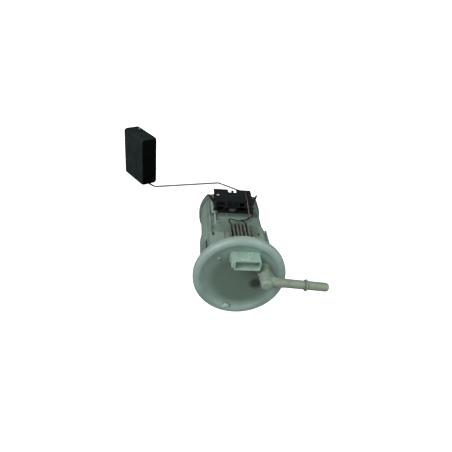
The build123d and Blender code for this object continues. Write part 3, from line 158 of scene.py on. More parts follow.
class Tree:
    """A node tree wired from Python."""

    def __init__(self, tree: bpy.types.NodeTree) -> None:
        """Empty the tree.

        Args:
            tree: the tree.
        """
        self.tree = tree
        self.tree.nodes.clear()

    def node(self, kind: str, settings: Options = None, inputs: Options = None) -> bpy.types.Node:
        """Any node, with its settings made first and then its sockets.

        Args:
            kind: the node's type.
            settings: attribute to value.
            inputs: socket name or number to a value, signal, socket or list of signals.

        Returns:
            The node.
        """
        made = self.tree.nodes.new(kind)
        for key, value in (settings or {}).items():
            setattr(made, key, value)
        for key, value in (inputs or {}).items():
            for source in value if isinstance(value, list) else [value]:
                socket = source.socket if isinstance(source, Sig) else source
                if isinstance(socket, bpy.types.NodeSocket):
                    self.tree.links.new(socket, made.inputs[key])
                else:
                    made.inputs[key].default_value = socket
        return made

    def sig(self, kind: str, settings: Options = None, inputs: Options = None, output: Any = 0) -> Sig:
        """A node's output as a signal.

        Args:
            kind: the node's type.
            settings: its attributes.
            inputs: its sockets.
            output: the output's name or number.

        Returns:
            The signal.
        """
        return Sig(self, self.node(kind, settings, inputs).outputs[output])

    def vector(self, x: Any = 0.0, y: Any = 0.0, z: Any = 0.0) -> Sig:
        """Three numbers or signals as one vector."""
        return self.sig("ShaderNodeCombineXYZ", None, {0: x, 1: y, 2: z})


class Graph(Tree):
    """Node tree of one material."""

    def __init__(self, name: str) -> None:
        """Start an empty material.

        Args:
            name: the material's name.
        """
        self.material = bpy.data.materials.new(name)
        self.material.use_nodes = True
        super().__init__(self.material.node_tree)

    def place(self) -> bpy.types.NodeSocket:
        """The point on the surface, in the piece's own frame."""
        return self.node("ShaderNodeTexCoord").outputs["Object"]

    def axes(self) -> tuple[Sig, Sig, Sig]:
        """X, Y and Z of the surface point, in millimetres."""
        split = self.node("ShaderNodeSeparateXYZ", None, {0: self.place()})
        return tuple(Sig(self, split.outputs[i]) * PER_METRE for i in range(3))

    def noise(self, size: float, detail: float = 3.0, rough: float = 0.55,
              stretch: Triple = EVEN) -> Sig:
        """Noise with features of a size in millimetres.

        Args:
            size: feature size.
            detail: octaves.
            rough: octave roughness.
            stretch: scale along each axis.

        Returns:
            Noise from 0 to 1.
        """
        spot = self.node("ShaderNodeMapping", None, {"Vector": self.place(), "Scale": stretch})
        values = {"Vector": spot.outputs[0], "Scale": PER_METRE / size, "Detail": detail,
                  "Roughness": rough}
        return self.sig("ShaderNodeTexNoise", {"noise_dimensions": "3D"}, values)

    def cells(self, size: float) -> Sig:
        """Distance to the middles of cells of a size in millimetres.

        Args:
            size: cell size.

        Returns:
            The distance.
        """
        values = {"Vector": self.place(), "Scale": PER_METRE / size}
        return self.sig("ShaderNodeTexVoronoi", {"feature": "F1"}, values, "Distance")

    def edges(self, low: float = 0.51, high: float = 0.58) -> Sig:
        """Mask of convex edges."""
        return self.sig("ShaderNodeNewGeometry", output="Pointiness").step(low, high)

    def hollows(self, low: float = 0.42, high: float = 0.49) -> Sig:
        """Mask of concave edges, where dirt gathers and shade is painted."""
        return 1.0 - self.edges(low, high)

    def spot(self, first: Sig, second: Sig, centre: Point, inner: float, outer: float) -> Sig:
        """Soft round mask.

        Args:
            first: one coordinate.
            second: the other coordinate.
            centre: the mask's centre.
            inner: radius where the mask is still full.
            outer: radius where it ends.

        Returns:
            The mask.
        """
        a, b = first - centre[0], second - centre[1]
        squared = a * a + b * b
        return 1.0 - squared.op("SQRT", squared).step(inner, outer)

    def mix(self, factor: Any, first: Any, second: Any) -> bpy.types.NodeSocket:
        """Mix two colours.

        Args:
            factor: 0 for the first and 1 for the second.
            first: colour or socket.
            second: colour or socket.

        Returns:
            The colour socket.
        """
        settings = {"data_type": "RGBA", "clamp_factor": True}
        return self.node("ShaderNodeMix", settings, {0: factor, 6: first, 7: second}).outputs[2]

    def bump(self, height: Sig, depth: float, strength: float) -> bpy.types.NodeSocket:
        """Bumped normal.

        Args:
            height: height from 0 to 1.
            depth: depth in millimetres.
            strength: share of the bump.

        Returns:
            The normal socket.
        """
        inputs = {"Height": height, "Distance": depth * MM, "Strength": strength}
        return self.node("ShaderNodeBump", None, inputs).outputs[0]


# ---- finishes
@dataclass(frozen=True)
class Mark:
    """A soft colour patch on a moulding, mostly painted shade, painted shadow or painted light: a soft mask
    in the part's own millimetres.

    axes names the two coordinates of a round mark, or one coordinate twice for a band. The mask
    keeps between low and high along the limit axis, and fades inside them.
    """

    colour: Triple
    centre: Point
    inner: float
    outer: float
    axes: str = "xy"
    weight: float = 1.0
    low: float = -500.0
    high: float = 500.0
    fade: float = 0.6
    limit: str = "z"

    @classmethod
    def band(cls, colour: Triple, axis: str, at: float, inner: float, outer: float, **more: Any) -> "Mark":
        """A mark on both sides of one place along an axis.

        Args:
            colour: its colour.
            axis: the coordinate that it is measured along.
            at: its middle.
            inner: distance where it is still full, times the root of two.
            outer: distance where it ends, times the root of two.
            more: the other fields.

        Returns:
            The mark.
        """
        return cls(colour, (at, at), inner, outer, axis * 2, **more)

    def mask(self, g: Graph) -> Sig:
        """The mask.

        Args:
            g: the material's graph.

        Returns:
            The mask from 0 to 1.
        """
        named = dict(zip("xyz", g.axes()))
        round_part = g.spot(named[self.axes[0]], named[self.axes[1]], self.centre, self.inner, self.outer)
        along = named[self.limit]
        above = along.step(self.low, self.low + self.fade)
        below = 1.0 - along.step(self.high - self.fade, self.high)
        return round_part * (above * below)


@dataclass(frozen=True)
class Finish:
    """A finish that runs between two colours."""

    name: str
    light: Triple
    dark: Triple

    def between(self, g: Graph, factor: Sig) -> bpy.types.NodeSocket:
        """The light colour where the factor is 0 and the dark one where it is 1.

        Args:
            g: the material's graph.
            factor: the signal.

        Returns:
            The colour socket.
        """
        return g.mix(factor, shade(self.light), shade(self.dark))

    def sockets(self, g: Graph) -> dict[str, Any]:
        """The shader's sockets by name.

        Args:
            g: the material's graph.

        Returns:
            Socket name to value or socket.
        """
        raise NotImplementedError

    def material(self) -> bpy.types.Material:
        """Build the material with one principled shader."""
        g = Graph(self.name)
        shader = g.sig("ShaderNodeBsdfPrincipled", None, self.sockets(g))
        g.node("ShaderNodeOutputMaterial", None, {"Surface": shader})
        return g.material


@dataclass(frozen=True)
class Moulded(Finish):
    """Moulded plastic with cloudy colour, fine grain, a painted highlight and some wear on its edges, and
    dirt and painted shade in its hollows.
    """

    rough: float = 0.42
    cloud: float = 16.0
    grain: float = 0.03
    # weight of the painted highlight on convex edges
    edge: float = 0.35
    # weight of the dirt and painted shade in concave hollows
    hollow_dirt_and_shade: float = 0.3
    glow: float = 0.0
    marks: tuple[Mark, ...] = ()
    # marks where a glow and a lighter colour are painted inside the moulding, as painted light
    painted_glow: tuple[Mark, ...] = ()
    # colour factor of the dirt and painted shade in hollows
    hollow_dirt_and_shade_tone: float = 0.55
    speck_size: float = 1.1
    speck_shade: float = 0.7
    speck: float = 0.12
    # colour factor and lift of the painted highlight on convex edges
    edge_highlight_tone: float = 1.14
    edge_highlight_lift: int = 6
    gloss_spread: float = 0.16
    scatter: Triple = (0.8, 1.0, 0.9)
    scatter_depth: float = 2.2

    def sockets(self, g: Graph) -> dict[str, Any]:
        """Sockets by name."""
        colour = self.between(g, g.noise(self.cloud, 4.0).step(0.3, 0.72))
        for mark in self.marks:
            colour = g.mix(mark.mask(g) * mark.weight, colour, shade(mark.colour))
        # dirt and painted shade in concave hollows
        hollow_dirt_and_shade = g.hollows() * g.noise(4.0).step(0.2, 0.7)
        colour = g.mix(hollow_dirt_and_shade * self.hollow_dirt_and_shade, colour, shade(self.dark, self.hollow_dirt_and_shade_tone))
        specks = g.noise(self.speck_size, 2.0, 0.6).step(0.66, 0.74)
        colour = g.mix(specks * self.speck, colour, shade(self.dark, self.speck_shade))
        # painted highlight on convex edges; wear there also raises the roughness a little
        edge_highlight_and_wear = g.edges()
        colour = g.mix(edge_highlight_and_wear * self.edge, colour, shade(self.light, self.edge_highlight_tone, self.edge_highlight_lift))
        rough = g.noise(5.0) * self.gloss_spread + (self.rough - self.gloss_spread / 2) + edge_highlight_and_wear * 0.05
        grain = g.noise(0.5, 2.0, 0.7) * 0.6 + g.noise(7.0, 2.0) * 0.4
        values = {"Base Color": colour, "Roughness": rough, "IOR": 1.5,
                  "Normal": g.bump(grain, self.grain * 3, 0.6)}
        if self.glow:
            values.update({"Subsurface Weight": self.glow, "Subsurface Radius": self.scatter,
                           "Subsurface Scale": self.scatter_depth * MM})
        # painted glow inside the moulding
        if self.painted_glow:
            values.update(self.inside(g, colour))
        return values

    def inside(self, g: Graph, colour: bpy.types.NodeSocket) -> dict[str, Any]:
        """Sockets that paint a glow (emission) and a lighter colour into a moulding's inside, where all its
        painted-glow marks meet; this is painted light, not a lamp.

        Args:
            g: the material's graph.
            colour: the moulding's colour.

        Returns:
            Socket name to value.
        """
        mask = self.painted_glow[0].mask(g)
        for mark in self.painted_glow[1:]:
            mask = mask * mark.mask(g)
        light = self.painted_glow[0].colour
        return {"Base Color": g.mix(mask * 0.7, colour, shade(light, 0.5)),
                "Emission Color": g.mix(mask, shade(light, 0.0), shade(light)),
                "Emission Strength": 1.0}


@dataclass(frozen=True)
class Metal(Finish):
    """Bare metal with drawn or cast texture and slight tarnish."""

    rough: float = 0.3
    drawn: Triple = (1.0, 1.0, 0.06)
    size: float = 1.2
    depth: float = 0.02

    def sockets(self, g: Graph) -> dict[str, Any]:
        """Sockets by name."""
        lines = g.noise(self.size, 4.0, 0.6, self.drawn)
        stain = g.noise(6.0).step(0.35, 0.75)
        return {"Base Color": self.between(g, lines * 0.5 + stain * 0.4), "Metallic": 1.0,
                "Roughness": lines * 0.18 + stain * 0.12 + self.rough,
                "Normal": g.bump(lines, self.depth, 0.5)}


@dataclass(frozen=True)
class Foam(Finish):
    """Closed-cell foam with fine cells, coarse pores and painted shade on one narrow side.

    The painted shade starts between the two values of painted_shade_from, in millimetres along
    painted_shade_way.
    """

    cell: float = 0.55
    coarse: float = 3.1
    pore_shade: float = 0.4
    rubbed: Triple = (50, 57, 57)
    # colour of the painted shade on one narrow side
    painted_shade_colour: Triple = (2, 4, 4)
    painted_shade_way: Triple = (-0.569, 0.0, 0.822)
    painted_shade_from: Point = (-151.6, -150.4)

    def sockets(self, g: Graph) -> dict[str, Any]:
        """Sockets by name."""
        x, y, z = g.axes()
        # painted shade on one narrow side of the float
        side = (x * self.painted_shade_way[0] + y * self.painted_shade_way[1] + z * self.painted_shade_way[2]).step(*self.painted_shade_from)
        cells = g.cells(self.cell)
        pores = 1.0 - g.cells(self.cell * self.coarse).step(0.08, 0.3)
        cloud = g.noise(11.0).step(0.3, 0.7)
        colour = self.between(g, cloud * 0.6 + cells * 0.4)
        colour = g.mix(pores * 0.7, colour, shade(self.dark, self.pore_shade))
        colour = g.mix(g.edges(0.505, 0.54) * 0.22, colour, shade(self.rubbed))
        colour = g.mix(side, colour, shade(self.painted_shade_colour))
        height = cells * 0.5 - pores * 0.5 + g.noise(2.6) * 0.4
        return {"Base Color": colour, "Roughness": 0.62 + cloud * 0.16, "IOR": 1.3,
                "Specular IOR Level": 0.15, "Normal": g.bump(height, 0.12, 0.7)}


@dataclass(frozen=True)
class Rubber(Finish):
    """Matt rubber with mould bloom."""

    rough: float = 0.7

    def sockets(self, g: Graph) -> dict[str, Any]:
        """Sockets by name."""
        bloom = g.noise(4.0, 4.0, 0.65).step(0.4, 0.8)
        return {"Base Color": self.between(g, bloom), "Roughness": self.rough + bloom * 0.15,
                "Normal": g.bump(g.noise(0.35, 2.0), 0.03, 0.5)}


@dataclass(frozen=True)
class Woven(Finish):
    """Fine square mesh seen as a weave of light threads over dark gaps, with stains."""

    pitch: float = 0.62
    stain: float = 0.3
    stain_shade: float = 0.72

    def sockets(self, g: Graph) -> dict[str, Any]:
        """Sockets by name."""
        x, y, z = g.axes()
        turn = 2 * math.pi / self.pitch
        across = (x * turn).wave()
        along = ((y + z) * turn).wave()
        over = (across * along).step(-0.9, 0.9)
        thread = across.op("MAXIMUM", across * across, along * along).step(0.15, 0.9)
        stain = g.noise(9.0, 4.0).step(0.45, 0.8)
        colour = g.mix(thread, shade(self.dark), shade(self.light))
        colour = g.mix(stain * self.stain, colour, shade(self.light, self.stain_shade))
        height = thread * 0.7 + over * 0.3
        return {"Base Color": colour, "Roughness": 0.62 + stain * 0.2,
                "Normal": g.bump(height, 0.1, 0.8)}


@dataclass(frozen=True)
class Paper(Finish):
    """Resin-soaked filter paper with fibres."""

    fibre: Triple = (1.0, 1.0, 0.35)

    def sockets(self, g: Graph) -> dict[str, Any]:
        """Sockets by name."""
        fibre = g.noise(1.4, 5.0, 0.7, self.fibre)
        cloud = g.noise(14.0).step(0.3, 0.7)
        colour = self.between(g, fibre * 0.5 + cloud * 0.5)
        return {"Base Color": colour, "Roughness": 0.82 + fibre * 0.1,
                "Normal": g.bump(fibre, 0.06, 0.7)}


@dataclass(frozen=True)
class Insulation(Finish):
    """Extruded wire insulation, light below sleeve_z and a dark sleeve above it."""

    sleeve_z: Point = (-200.0, -190.0)
    dust: Triple = (96, 96, 90)

    def sockets(self, g: Graph) -> dict[str, Any]:
        """Sockets by name."""
        _, _, z = g.axes()
        dust = g.noise(2.2, 4.0).step(0.45, 0.8)
        colour = self.between(g, z.step(*self.sleeve_z))
        colour = g.mix(dust * 0.05, colour, shade(self.dust))
        return {"Base Color": colour, "Roughness": 0.42 + dust * 0.2,
                "Normal": g.bump(g.noise(0.8, 2.0), 0.03, 0.4)}


@dataclass(frozen=True)
class Ground(Finish):
    """Pale studio floor that glows softly by itself."""

    light: Triple = (255, 255, 255)
    dark: Triple = (250, 251, 250)
    cloud: float = 260.0
    glow: float = 1.0

    def sockets(self, g: Graph) -> dict[str, Any]:
        """Sockets by name."""
        cloud = g.noise(self.cloud, 2.0)
        colour = self.between(g, cloud * 0.3)
        return {"Base Color": colour, "Roughness": 0.9 + cloud * 0.05,
                "Emission Color": colour, "Emission Strength": self.glow}


class Palette:
    """Every finish of the part, made once, with its fields in the order of its class."""

    COVER = Moulded("cover_plastic", (162, 187, 179), (150, 173, 165), 0.4, 20.0, 0.02, 0.15, 0.0, 0.14, (
        # painted shade on the dish floor
        Mark((102, 124, 111), (-1.5, 4.2), 25.0, 43.0, low=0.5, high=12.0),
        # more painted shade on the dish floor towards the lower right
        Mark((102, 124, 111), (-23.0, 24.0), 5.0, 16.0, weight=0.6, low=0.5, high=12.0),
        # painted shade darkening the rim's lower left
        Mark((122, 150, 137), (34.0, 27.0), 5.0, 20.0, weight=0.55, low=0.5, high=12.0),
        # painted shadow: a dark soft patch on the dish floor beside the outlet tower
        Mark((30, 40, 34), (-18.2, 8.8), 3.0, 9.6, weight=0.9, low=0.5, high=6.0),
        # painted highlight on the small tab by the rim
        Mark((172, 198, 186), (10.4, 38.1), 3.2, 4.4, weight=0.9, low=6.2, high=12.0)))
    SOCKET = Moulded(
        "socket_plastic", (168, 192, 180), (152, 176, 164), 0.4, 8.0, 0.02, 0.45, 0.3, 0.2,
        # painted glow: emission and a lighter colour inside the socket's mouth, where both bands meet
        painted_glow=(Mark.band((110, 133, 121), "y", PLUG[1], 4.6, 5.1, low=-2.0, high=17.2),
             Mark.band((0, 0, 0), "x", PLUG[0], 12.0, 12.6)))
    OUTLET = Moulded("outlet_plastic", (147, 160, 143), (134, 146, 128), 0.36, 10.0, 0.02, 0.4, 0.5, 0.12, (
        # painted light on the outlet tower
        Mark((146, 164, 150), TOWER, 5.0, 13.0, weight=0.9),
        Mark.band((172, 182, 164), "x", SPIGOT_TIP, 3.0, 7.0, weight=0.9),
        # painted shade in thin rings at the feet of the bead
        Mark.band((52, 60, 50), "x", BEAD_FEET[0], 0.35, 0.9, weight=0.6),
        Mark.band((74, 84, 70), "x", BEAD_FEET[1], 0.2, 0.8, weight=0.45)))
    CASE = Moulded("case_plastic", (133, 154, 143), (119, 139, 128), 0.42, 14.0, 0.03, 0.7, 0.6, 0.06, (
        # painted shadow under the sender
        Mark.band((56, 64, 58), "z", -84.0, 3.0, 13.0, weight=0.7, low=-28.0, high=-21.0, limit="y"),
        # painted light along the shell's top front
        Mark.band((152, 176, 165), "z", -24.0, 20.0, 25.0, weight=0.7, low=-40.0, high=-23.9, fade=0.3,
                  limit="y"),
        # painted shade of a groove, with some dirt, in a dark line beside the right rail
        Mark.band((66, 78, 71), "x", 28.2, 0.5, 1.6, weight=0.55, low=-70.0, high=-30.0, fade=6.0),
        # painted light on the right flank
        Mark.band((160, 186, 172), "x", 41.0, 10.0, 13.0, weight=0.5, low=-150.0, high=-28.0, fade=10.0)))
    # painted highlights on the hook, the rail and the corner rib of the lower shell
    LOWER = replace(CASE, name="lower_case_plastic", marks=CASE.marks + tuple(
        Mark.band(colour, "x", at, inner, outer, weight=weight, low=low, high=high, fade=fade, limit="y")
        for colour, at, inner, outer, weight, low, high, fade in (
            ((178, 196, 184), HOOK_X, 1.1, 1.4, 0.7, -26.0, -22.4, 0.2),
            ((186, 204, 192), RAIL_X, 1.6, 2.0, 0.8, -40.0, -22.6, 0.2),
            ((168, 188, 176), CORNER_X, 0.8, 1.6, 0.6, -26.0, -21.6, 0.3))))
    CAP = Moulded("cap_plastic", (118, 136, 126), (104, 121, 111), 0.44, 12.0, 0.03, 0.5, 0.5, 0.06)
    COMB = Moulded("comb_plastic", (126, 133, 121), (94, 102, 93), 0.45, 6.0, 0.03, 0.6, 0.3)
    DECK = Moulded("deck_plastic", (128, 142, 132), (106, 120, 110), 0.5)
    PIN = Moulded("pin_nylon", (250, 252, 248), (240, 242, 238), 0.35, 3.0)
    VALVE = Moulded("valve_plastic", (204, 206, 198), (184, 186, 178), 0.35, 3.0)
    DARK = Moulded("sender_plastic", (22, 30, 31), (14, 19, 21), 0.34, 7.0, 0.03, 0.9, 0.6)
    HUB = Moulded("hub_plastic", (44, 47, 47), (32, 34, 34), 0.4, 4.0)
    BUTTON = Moulded("button_plastic", (68, 77, 73), (56, 64, 61), 0.42, 4.0)
    PUMP = Moulded("pump_plastic", (60, 62, 62), (48, 50, 50), 0.4, 6.0)
    BLADE_WHEEL = Moulded("impeller_plastic", (96, 74, 52), (78, 60, 42), 0.5, 3.0)
    CARD = Moulded("card_ceramic", (70, 74, 70), (58, 62, 58), 0.55, 5.0, 0.03, 0.1)
    FERRITE = Moulded("ferrite", (54, 54, 56), (40, 40, 42), 0.6, 3.0, 0.06, 0.2)
    STEEL = Metal("sheet_steel", (186, 188, 188), (140, 142, 144), 0.28)
    SPRING = Metal("spring_steel", (170, 172, 172), (118, 120, 120), 0.25, EVEN, 0.8)
    WIRE = Metal("arm_steel", (152, 152, 149), (114, 114, 111), 0.45, EVEN, 1.6)
    CLIP = Metal("clip_steel", (84, 86, 86), (58, 60, 60), 0.4, EVEN, 0.8)
    TIN = Metal("tinned_brass", (132, 136, 128), (88, 92, 84), 0.42)
    PLATED = Moulded("plated_blades", (150, 158, 150), (128, 136, 128), 0.35, 4.0, 0.01, 0.2, 0.0,
                     # painted glow over the whole blades, matching the painted glow inside the socket
                     painted_glow=(Mark((92, 110, 101), (0.0, 0.0), 500.0, 501.0),))
    TRACK = Metal("track_alloy", (124, 116, 92), (96, 88, 66), 0.36)
    CAST = Metal("cast_aluminium", (186, 188, 190), (150, 152, 154), 0.45, EVEN, 0.6, 0.05)
    LAMINATION = Metal("lamination_steel", (140, 141, 143), (92, 93, 95), 0.4, (0.1, 0.1, 2.0), 0.5, 0.06)
    COPPER = Metal("copper_winding", (196, 118, 74), (140, 74, 44), 0.3, (0.2, 0.2, 2.0), 0.5, 0.15)
    SEAL = Rubber("seal_rubber", (36, 36, 35), (52, 52, 50))
    FLOAT = Foam("float_foam", (40, 50, 48), (27, 34, 33))
    NET = Woven("strainer_net", (226, 226, 216), (150, 152, 144))
    MEDIA = Paper("filter_paper", (210, 199, 166), (188, 176, 142))
    RED = Insulation("red_insulation", (112, 84, 88), (12, 14, 14), (-72.0, -67.5))
    BLACK = Insulation("black_insulation", (11, 14, 13), (11, 14, 13))
    FLOOR = Ground("studio_floor")

    _made: dict[str, bpy.types.Material] = {}

    @classmethod
    def get(cls, finish: Finish) -> bpy.types.Material:
        """The material of a finish.

        Args:
            finish: one of the finishes above.

        Returns:
            The material, built the first time it is asked for.
        """
        if finish.name not in cls._made:
            cls._made[finish.name] = finish.material()
        return cls._made[finish.name]


# ---- meshes
def linked(name: str, data: bpy.types.ID) -> bpy.types.Object:
    """A new object in the scene.

    Args:
        name: its name.
        data: its mesh, curve, light or camera.

    Returns:
        The object.
    """
    piece = bpy.data.objects.new(name, data)
    bpy.context.scene.collection.objects.link(piece)
    return piece


def meshed(work: bmesh.types.BMesh, name: str) -> bpy.types.Mesh:
    """Close an edit mesh into a new mesh."""
    mesh = bpy.data.meshes.new(name)
    work.to_mesh(mesh)
    work.free()
    return mesh


def show(name: str, mesh: bpy.types.Mesh, finish: Finish, stands_for: Sequence[str] = (),
         body: Body = Body.MODULE) -> None:
    """Put a mesh into the scene as a piece of the part.

    Args:
        name: the piece's name.
        mesh: its mesh, with its place in its points.
        finish: its finish.
        stands_for: CAD nodes that it replaces.
        body: the body that it rides on.
    """
    piece = linked(name, mesh)
    mesh.materials.clear()
    mesh.materials.append(Palette.get(finish))
    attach(piece, body.value)
    if stands_for:
        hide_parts(*stands_for)
    log.info("%s: %d faces on %s", name, len(mesh.polygons), body.value)


def bake(piece: bpy.types.Object) -> bpy.types.Mesh:
    """Turn an object with modifiers into a plain mesh.

    Args:
        piece: a scratch object, which is removed.

    Returns:
        The evaluated mesh.
    """
    graph = bpy.context.evaluated_depsgraph_get()
    mesh = bpy.data.meshes.new_from_object(piece.evaluated_get(graph), depsgraph=graph)
    old = piece.data
    bpy.data.objects.remove(piece)
    if old.users == 0:
        bpy.data.meshes.remove(old)
    return mesh


def smooth(mesh: bpy.types.Mesh, angle: float = 32.0) -> bpy.types.Mesh:
    """Smooth shading with sharp edges kept.

    Args:
        mesh: the mesh.
        angle: edges above this angle in degrees stay sharp.

    Returns:
        The same mesh.
    """
    mesh.shade_smooth()
    mesh.set_sharp_from_angle(angle=math.radians(angle))
    return mesh


def bevelled(mesh: bpy.types.Mesh, width: float, segments: int, **settings: Any) -> bpy.types.Mesh:
    """A mesh with its edges rounded.

    Args:
        mesh: the mesh.
        width: rounding in millimetres.
        segments: faces across each rounding.
        settings: the modifier's other settings.

    Returns:
        A new mesh.
    """
    piece = linked("scratch", mesh)
    bevel = piece.modifiers.new("rounding", "BEVEL")
    bevel.width = width * MM
    bevel.segments = segments
    for key, value in settings.items():
        setattr(bevel, key, value)
    return bake(piece)


def refined(mesh: bpy.types.Mesh) -> bpy.types.Mesh:
    """Cut a mesh into triangles with short edges.

    Args:
        mesh: the mesh, which is changed.

    Returns:
        The same mesh.
    """
    work = bmesh.new()
    work.from_mesh(mesh)
    bmesh.ops.triangulate(work, faces=work.faces)
    for _ in range(CUT_ROUNDS):
        long = [edge for edge in work.edges if edge.calc_length() > LONGEST_EDGE * MM]
        if not long:
            break
        bmesh.ops.subdivide_edges(work, edges=long, cuts=1)
        bmesh.ops.triangulate(work, faces=[face for face in work.faces if len(face.verts) > 3])
    work.to_mesh(mesh)
    work.free()
    return mesh


def softened(node: str, width: float, segments: int = 2) -> bpy.types.Mesh:
    """A copy of a CAD node's mesh, merged, with its hard edges rounded and its flats divided.

    Args:
        node: the CAD node.
        width: rounding in millimetres, 0 for none.
        segments: faces across each rounding.

    Returns:
        The mesh.
    """
    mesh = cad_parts[node].data.copy()
    work = bmesh.new()
    work.from_mesh(mesh)
    bmesh.ops.remove_doubles(work, verts=work.verts, dist=MERGE)
    work.to_mesh(mesh)
    work.free()
    if width > 0:
        mesh = bevelled(mesh, width, segments, limit_method="ANGLE",
                        angle_limit=math.radians(HARD_EDGE), miter_outer="MITER_ARC")
    return smooth(refined(mesh), HARD_EDGE)


def turned(outline: Sequence[Point], segments: int, place: Matrix) -> bpy.types.Mesh:
    """Closed solid of revolution about local Z with two flat ends.

    Args:
        outline: (radius, height) points from end to end, in millimetres.
        segments: faces round the axis.
        place: where it goes, in millimetres.

    Returns:
        The mesh in metres.
    """
    work = bmesh.new()
    turns = [2 * math.pi * i / segments for i in range(segments)]
    rings = []
    for radius, height in outline:
        ring = [Vector((radius * math.cos(turn), radius * math.sin(turn), height)) for turn in turns]
        rings.append([work.verts.new((place @ point) * MM) for point in ring])
    work.faces.new(rings[0])
    work.faces.new(rings[-1])
    for lower, upper in zip(rings, rings[1:]):
        for i in range(segments):
            work.faces.new((lower[i - 1], lower[i], upper[i], upper[i - 1]))
    bmesh.ops.recalc_face_normals(work, faces=work.faces)
    return meshed(work, "turned")


def block(low: Triple, high: Triple, place: Matrix = NO_TURN) -> bpy.types.Mesh:
    """Closed rectangular block.

    Args:
        low: its corner with the lowest local coordinates, in millimetres.
        high: its corner with the highest.
        place: where it goes, in millimetres.

    Returns:
        The mesh in metres.
    """
    middle, size = (Vector(high) + Vector(low)) / 2, Vector(high) - Vector(low)
    grown = Matrix.Translation(middle) @ Matrix.Diagonal((*size, 1.0))
    work = bmesh.new()
    bmesh.ops.create_cube(work, size=1.0, matrix=Matrix.Scale(MM, 4) @ place @ grown)
    return meshed(work, "block")


def joined(meshes: Sequence[bpy.types.Mesh]) -> bpy.types.Mesh:
    """Several meshes in one."""
    work = bmesh.new()
    for mesh in meshes:
        work.from_mesh(mesh)
    return meshed(work, "joined")


def melted(mesh: bpy.types.Mesh, voxel: float, rounds: int) -> bpy.types.Mesh:
    """A closed mesh with soft fillets in its corners.

    Args:
        mesh: the mesh.
        voxel: cell size in millimetres.
        rounds: smoothing rounds.

    Returns:
        One closed mesh.
    """
    piece = linked("scratch", mesh)
    grid = piece.modifiers.new("melt", "REMESH")
    grid.mode = "VOXEL"
    grid.voxel_size = voxel * MM
    soft = piece.modifiers.new("soft", "SMOOTH")
    soft.factor = 0.5
    soft.iterations = rounds
    return smooth(bake(piece), 60.0)


# ---- geometry nodes
class Recipe(Tree):
    """A geometry node tree with named size inputs that ends in one plain mesh."""

    KINDS = {float: "NodeSocketFloat", int: "NodeSocketInt"}

    def __init__(self, name: str, sizes: dict[str, Any]) -> None:
        """Start the tree.

        Args:
            name: the tree's name.
            sizes: input name to its default.
        """
        super().__init__(bpy.data.node_groups.new(name, "GeometryNodeTree"))
        self.sizes = sizes
        self.keys: dict[str, str] = {}
        face = self.tree.interface
        for label, value in sizes.items():
            made = face.new_socket(name=label, in_out="INPUT", socket_type=self.KINDS[type(value)])
            self.keys[label] = made.identifier
        face.new_socket(name="Geometry", in_out="OUTPUT", socket_type="NodeSocketGeometry")
        self.entry = self.node("NodeGroupInput")

    def inputs(self) -> list[Sig]:
        """The named inputs as signals, in their order."""
        return [Sig(self, self.entry.outputs[label]) for label in self.sizes]

    def raised(self, geometry: Sig, rise: Sig) -> Sig:
        """Geometry moved up along local Z."""
        return self.sig("GeometryNodeTransform", None,
                        {"Geometry": geometry, "Translation": self.vector(z=rise)})

    def close(self, geometry: Sig, finish: Finish) -> "Recipe":
        """End the tree in Realize Instances and Set Material.

        Args:
            geometry: what the tree made.
            finish: the finish of the result.

        Returns:
            The recipe itself.
        """
        real = self.sig("GeometryNodeRealizeInstances", None, {"Geometry": geometry})
        dressed = self.sig("GeometryNodeSetMaterial", None,
                           {"Geometry": real, "Material": Palette.get(finish)})
        self.node("NodeGroupOutput", None, {0: dressed})
        return self

    def run(self, place: Matrix, **sizes: Any) -> bpy.types.Mesh:
        """Run the tree with given sizes.

        Args:
            place: where the result goes, in millimetres.
            sizes: input name to value.

        Returns:
            A plain mesh in metres.
        """
        piece = linked("scratch", bpy.data.meshes.new(self.tree.name))
        modifier = piece.modifiers.new("recipe", "NODES")
        modifier.node_group = self.tree
        for label, value in {**self.sizes, **sizes}.items():
            modifier[self.keys[label]] = value
        mesh = bake(piece)
        mesh.transform(Matrix.Scale(MM, 4) @ place @ Matrix.Scale(PER_METRE, 4))
        return mesh


def row_recipe(finish: Finish) -> Recipe:
    """A row of blades along X with pointed upper ends.

    Args:
        finish: the blades' finish.

    Returns:
        The tree, with Count, Pitch, Width, Thickness, Height and Point inputs.
    """
    r = Recipe("row_of_blades", {"Count": 5, "Pitch": 4 * MM, "Width": 2 * MM, "Thickness": 0.6 * MM,
                                 "Height": 9 * MM, "Point": MM})
    count, pitch, width, thickness, height, point = r.inputs()
    tip_share = (0.42, 0.5, 1.0)
    line = r.sig("GeometryNodeMeshLine", None, {"Count": count, "Offset": r.vector(pitch)})
    shoulder = height - point
    base = r.sig("GeometryNodeMeshCube", None, {"Size": r.vector(width, thickness, shoulder)})
    tip = r.sig("GeometryNodeMeshCube", None, {"Size": r.vector(width, thickness, point)})
    spot = r.sig("GeometryNodeInputPosition")
    spot_z = r.sig("ShaderNodeSeparateXYZ", None, {0: spot}, "Z")
    above = r.sig("FunctionNodeCompare", {"operation": "GREATER_THAN"}, {0: spot_z, 1: 0.0})
    narrow = r.sig("ShaderNodeVectorMath", {"operation": "MULTIPLY"}, {0: spot, 1: tip_share})
    cut = r.sig("GeometryNodeSetPosition", None, {"Geometry": tip, "Selection": above, "Position": narrow})
    blade = [r.raised(base, shoulder * 0.5), r.raised(cut, shoulder + point * 0.5)]
    both = r.sig("GeometryNodeJoinGeometry", None, {0: blade})
    row = r.sig("GeometryNodeInstanceOnPoints", None, {"Points": line, "Instance": both})
    return r.close(row, finish)


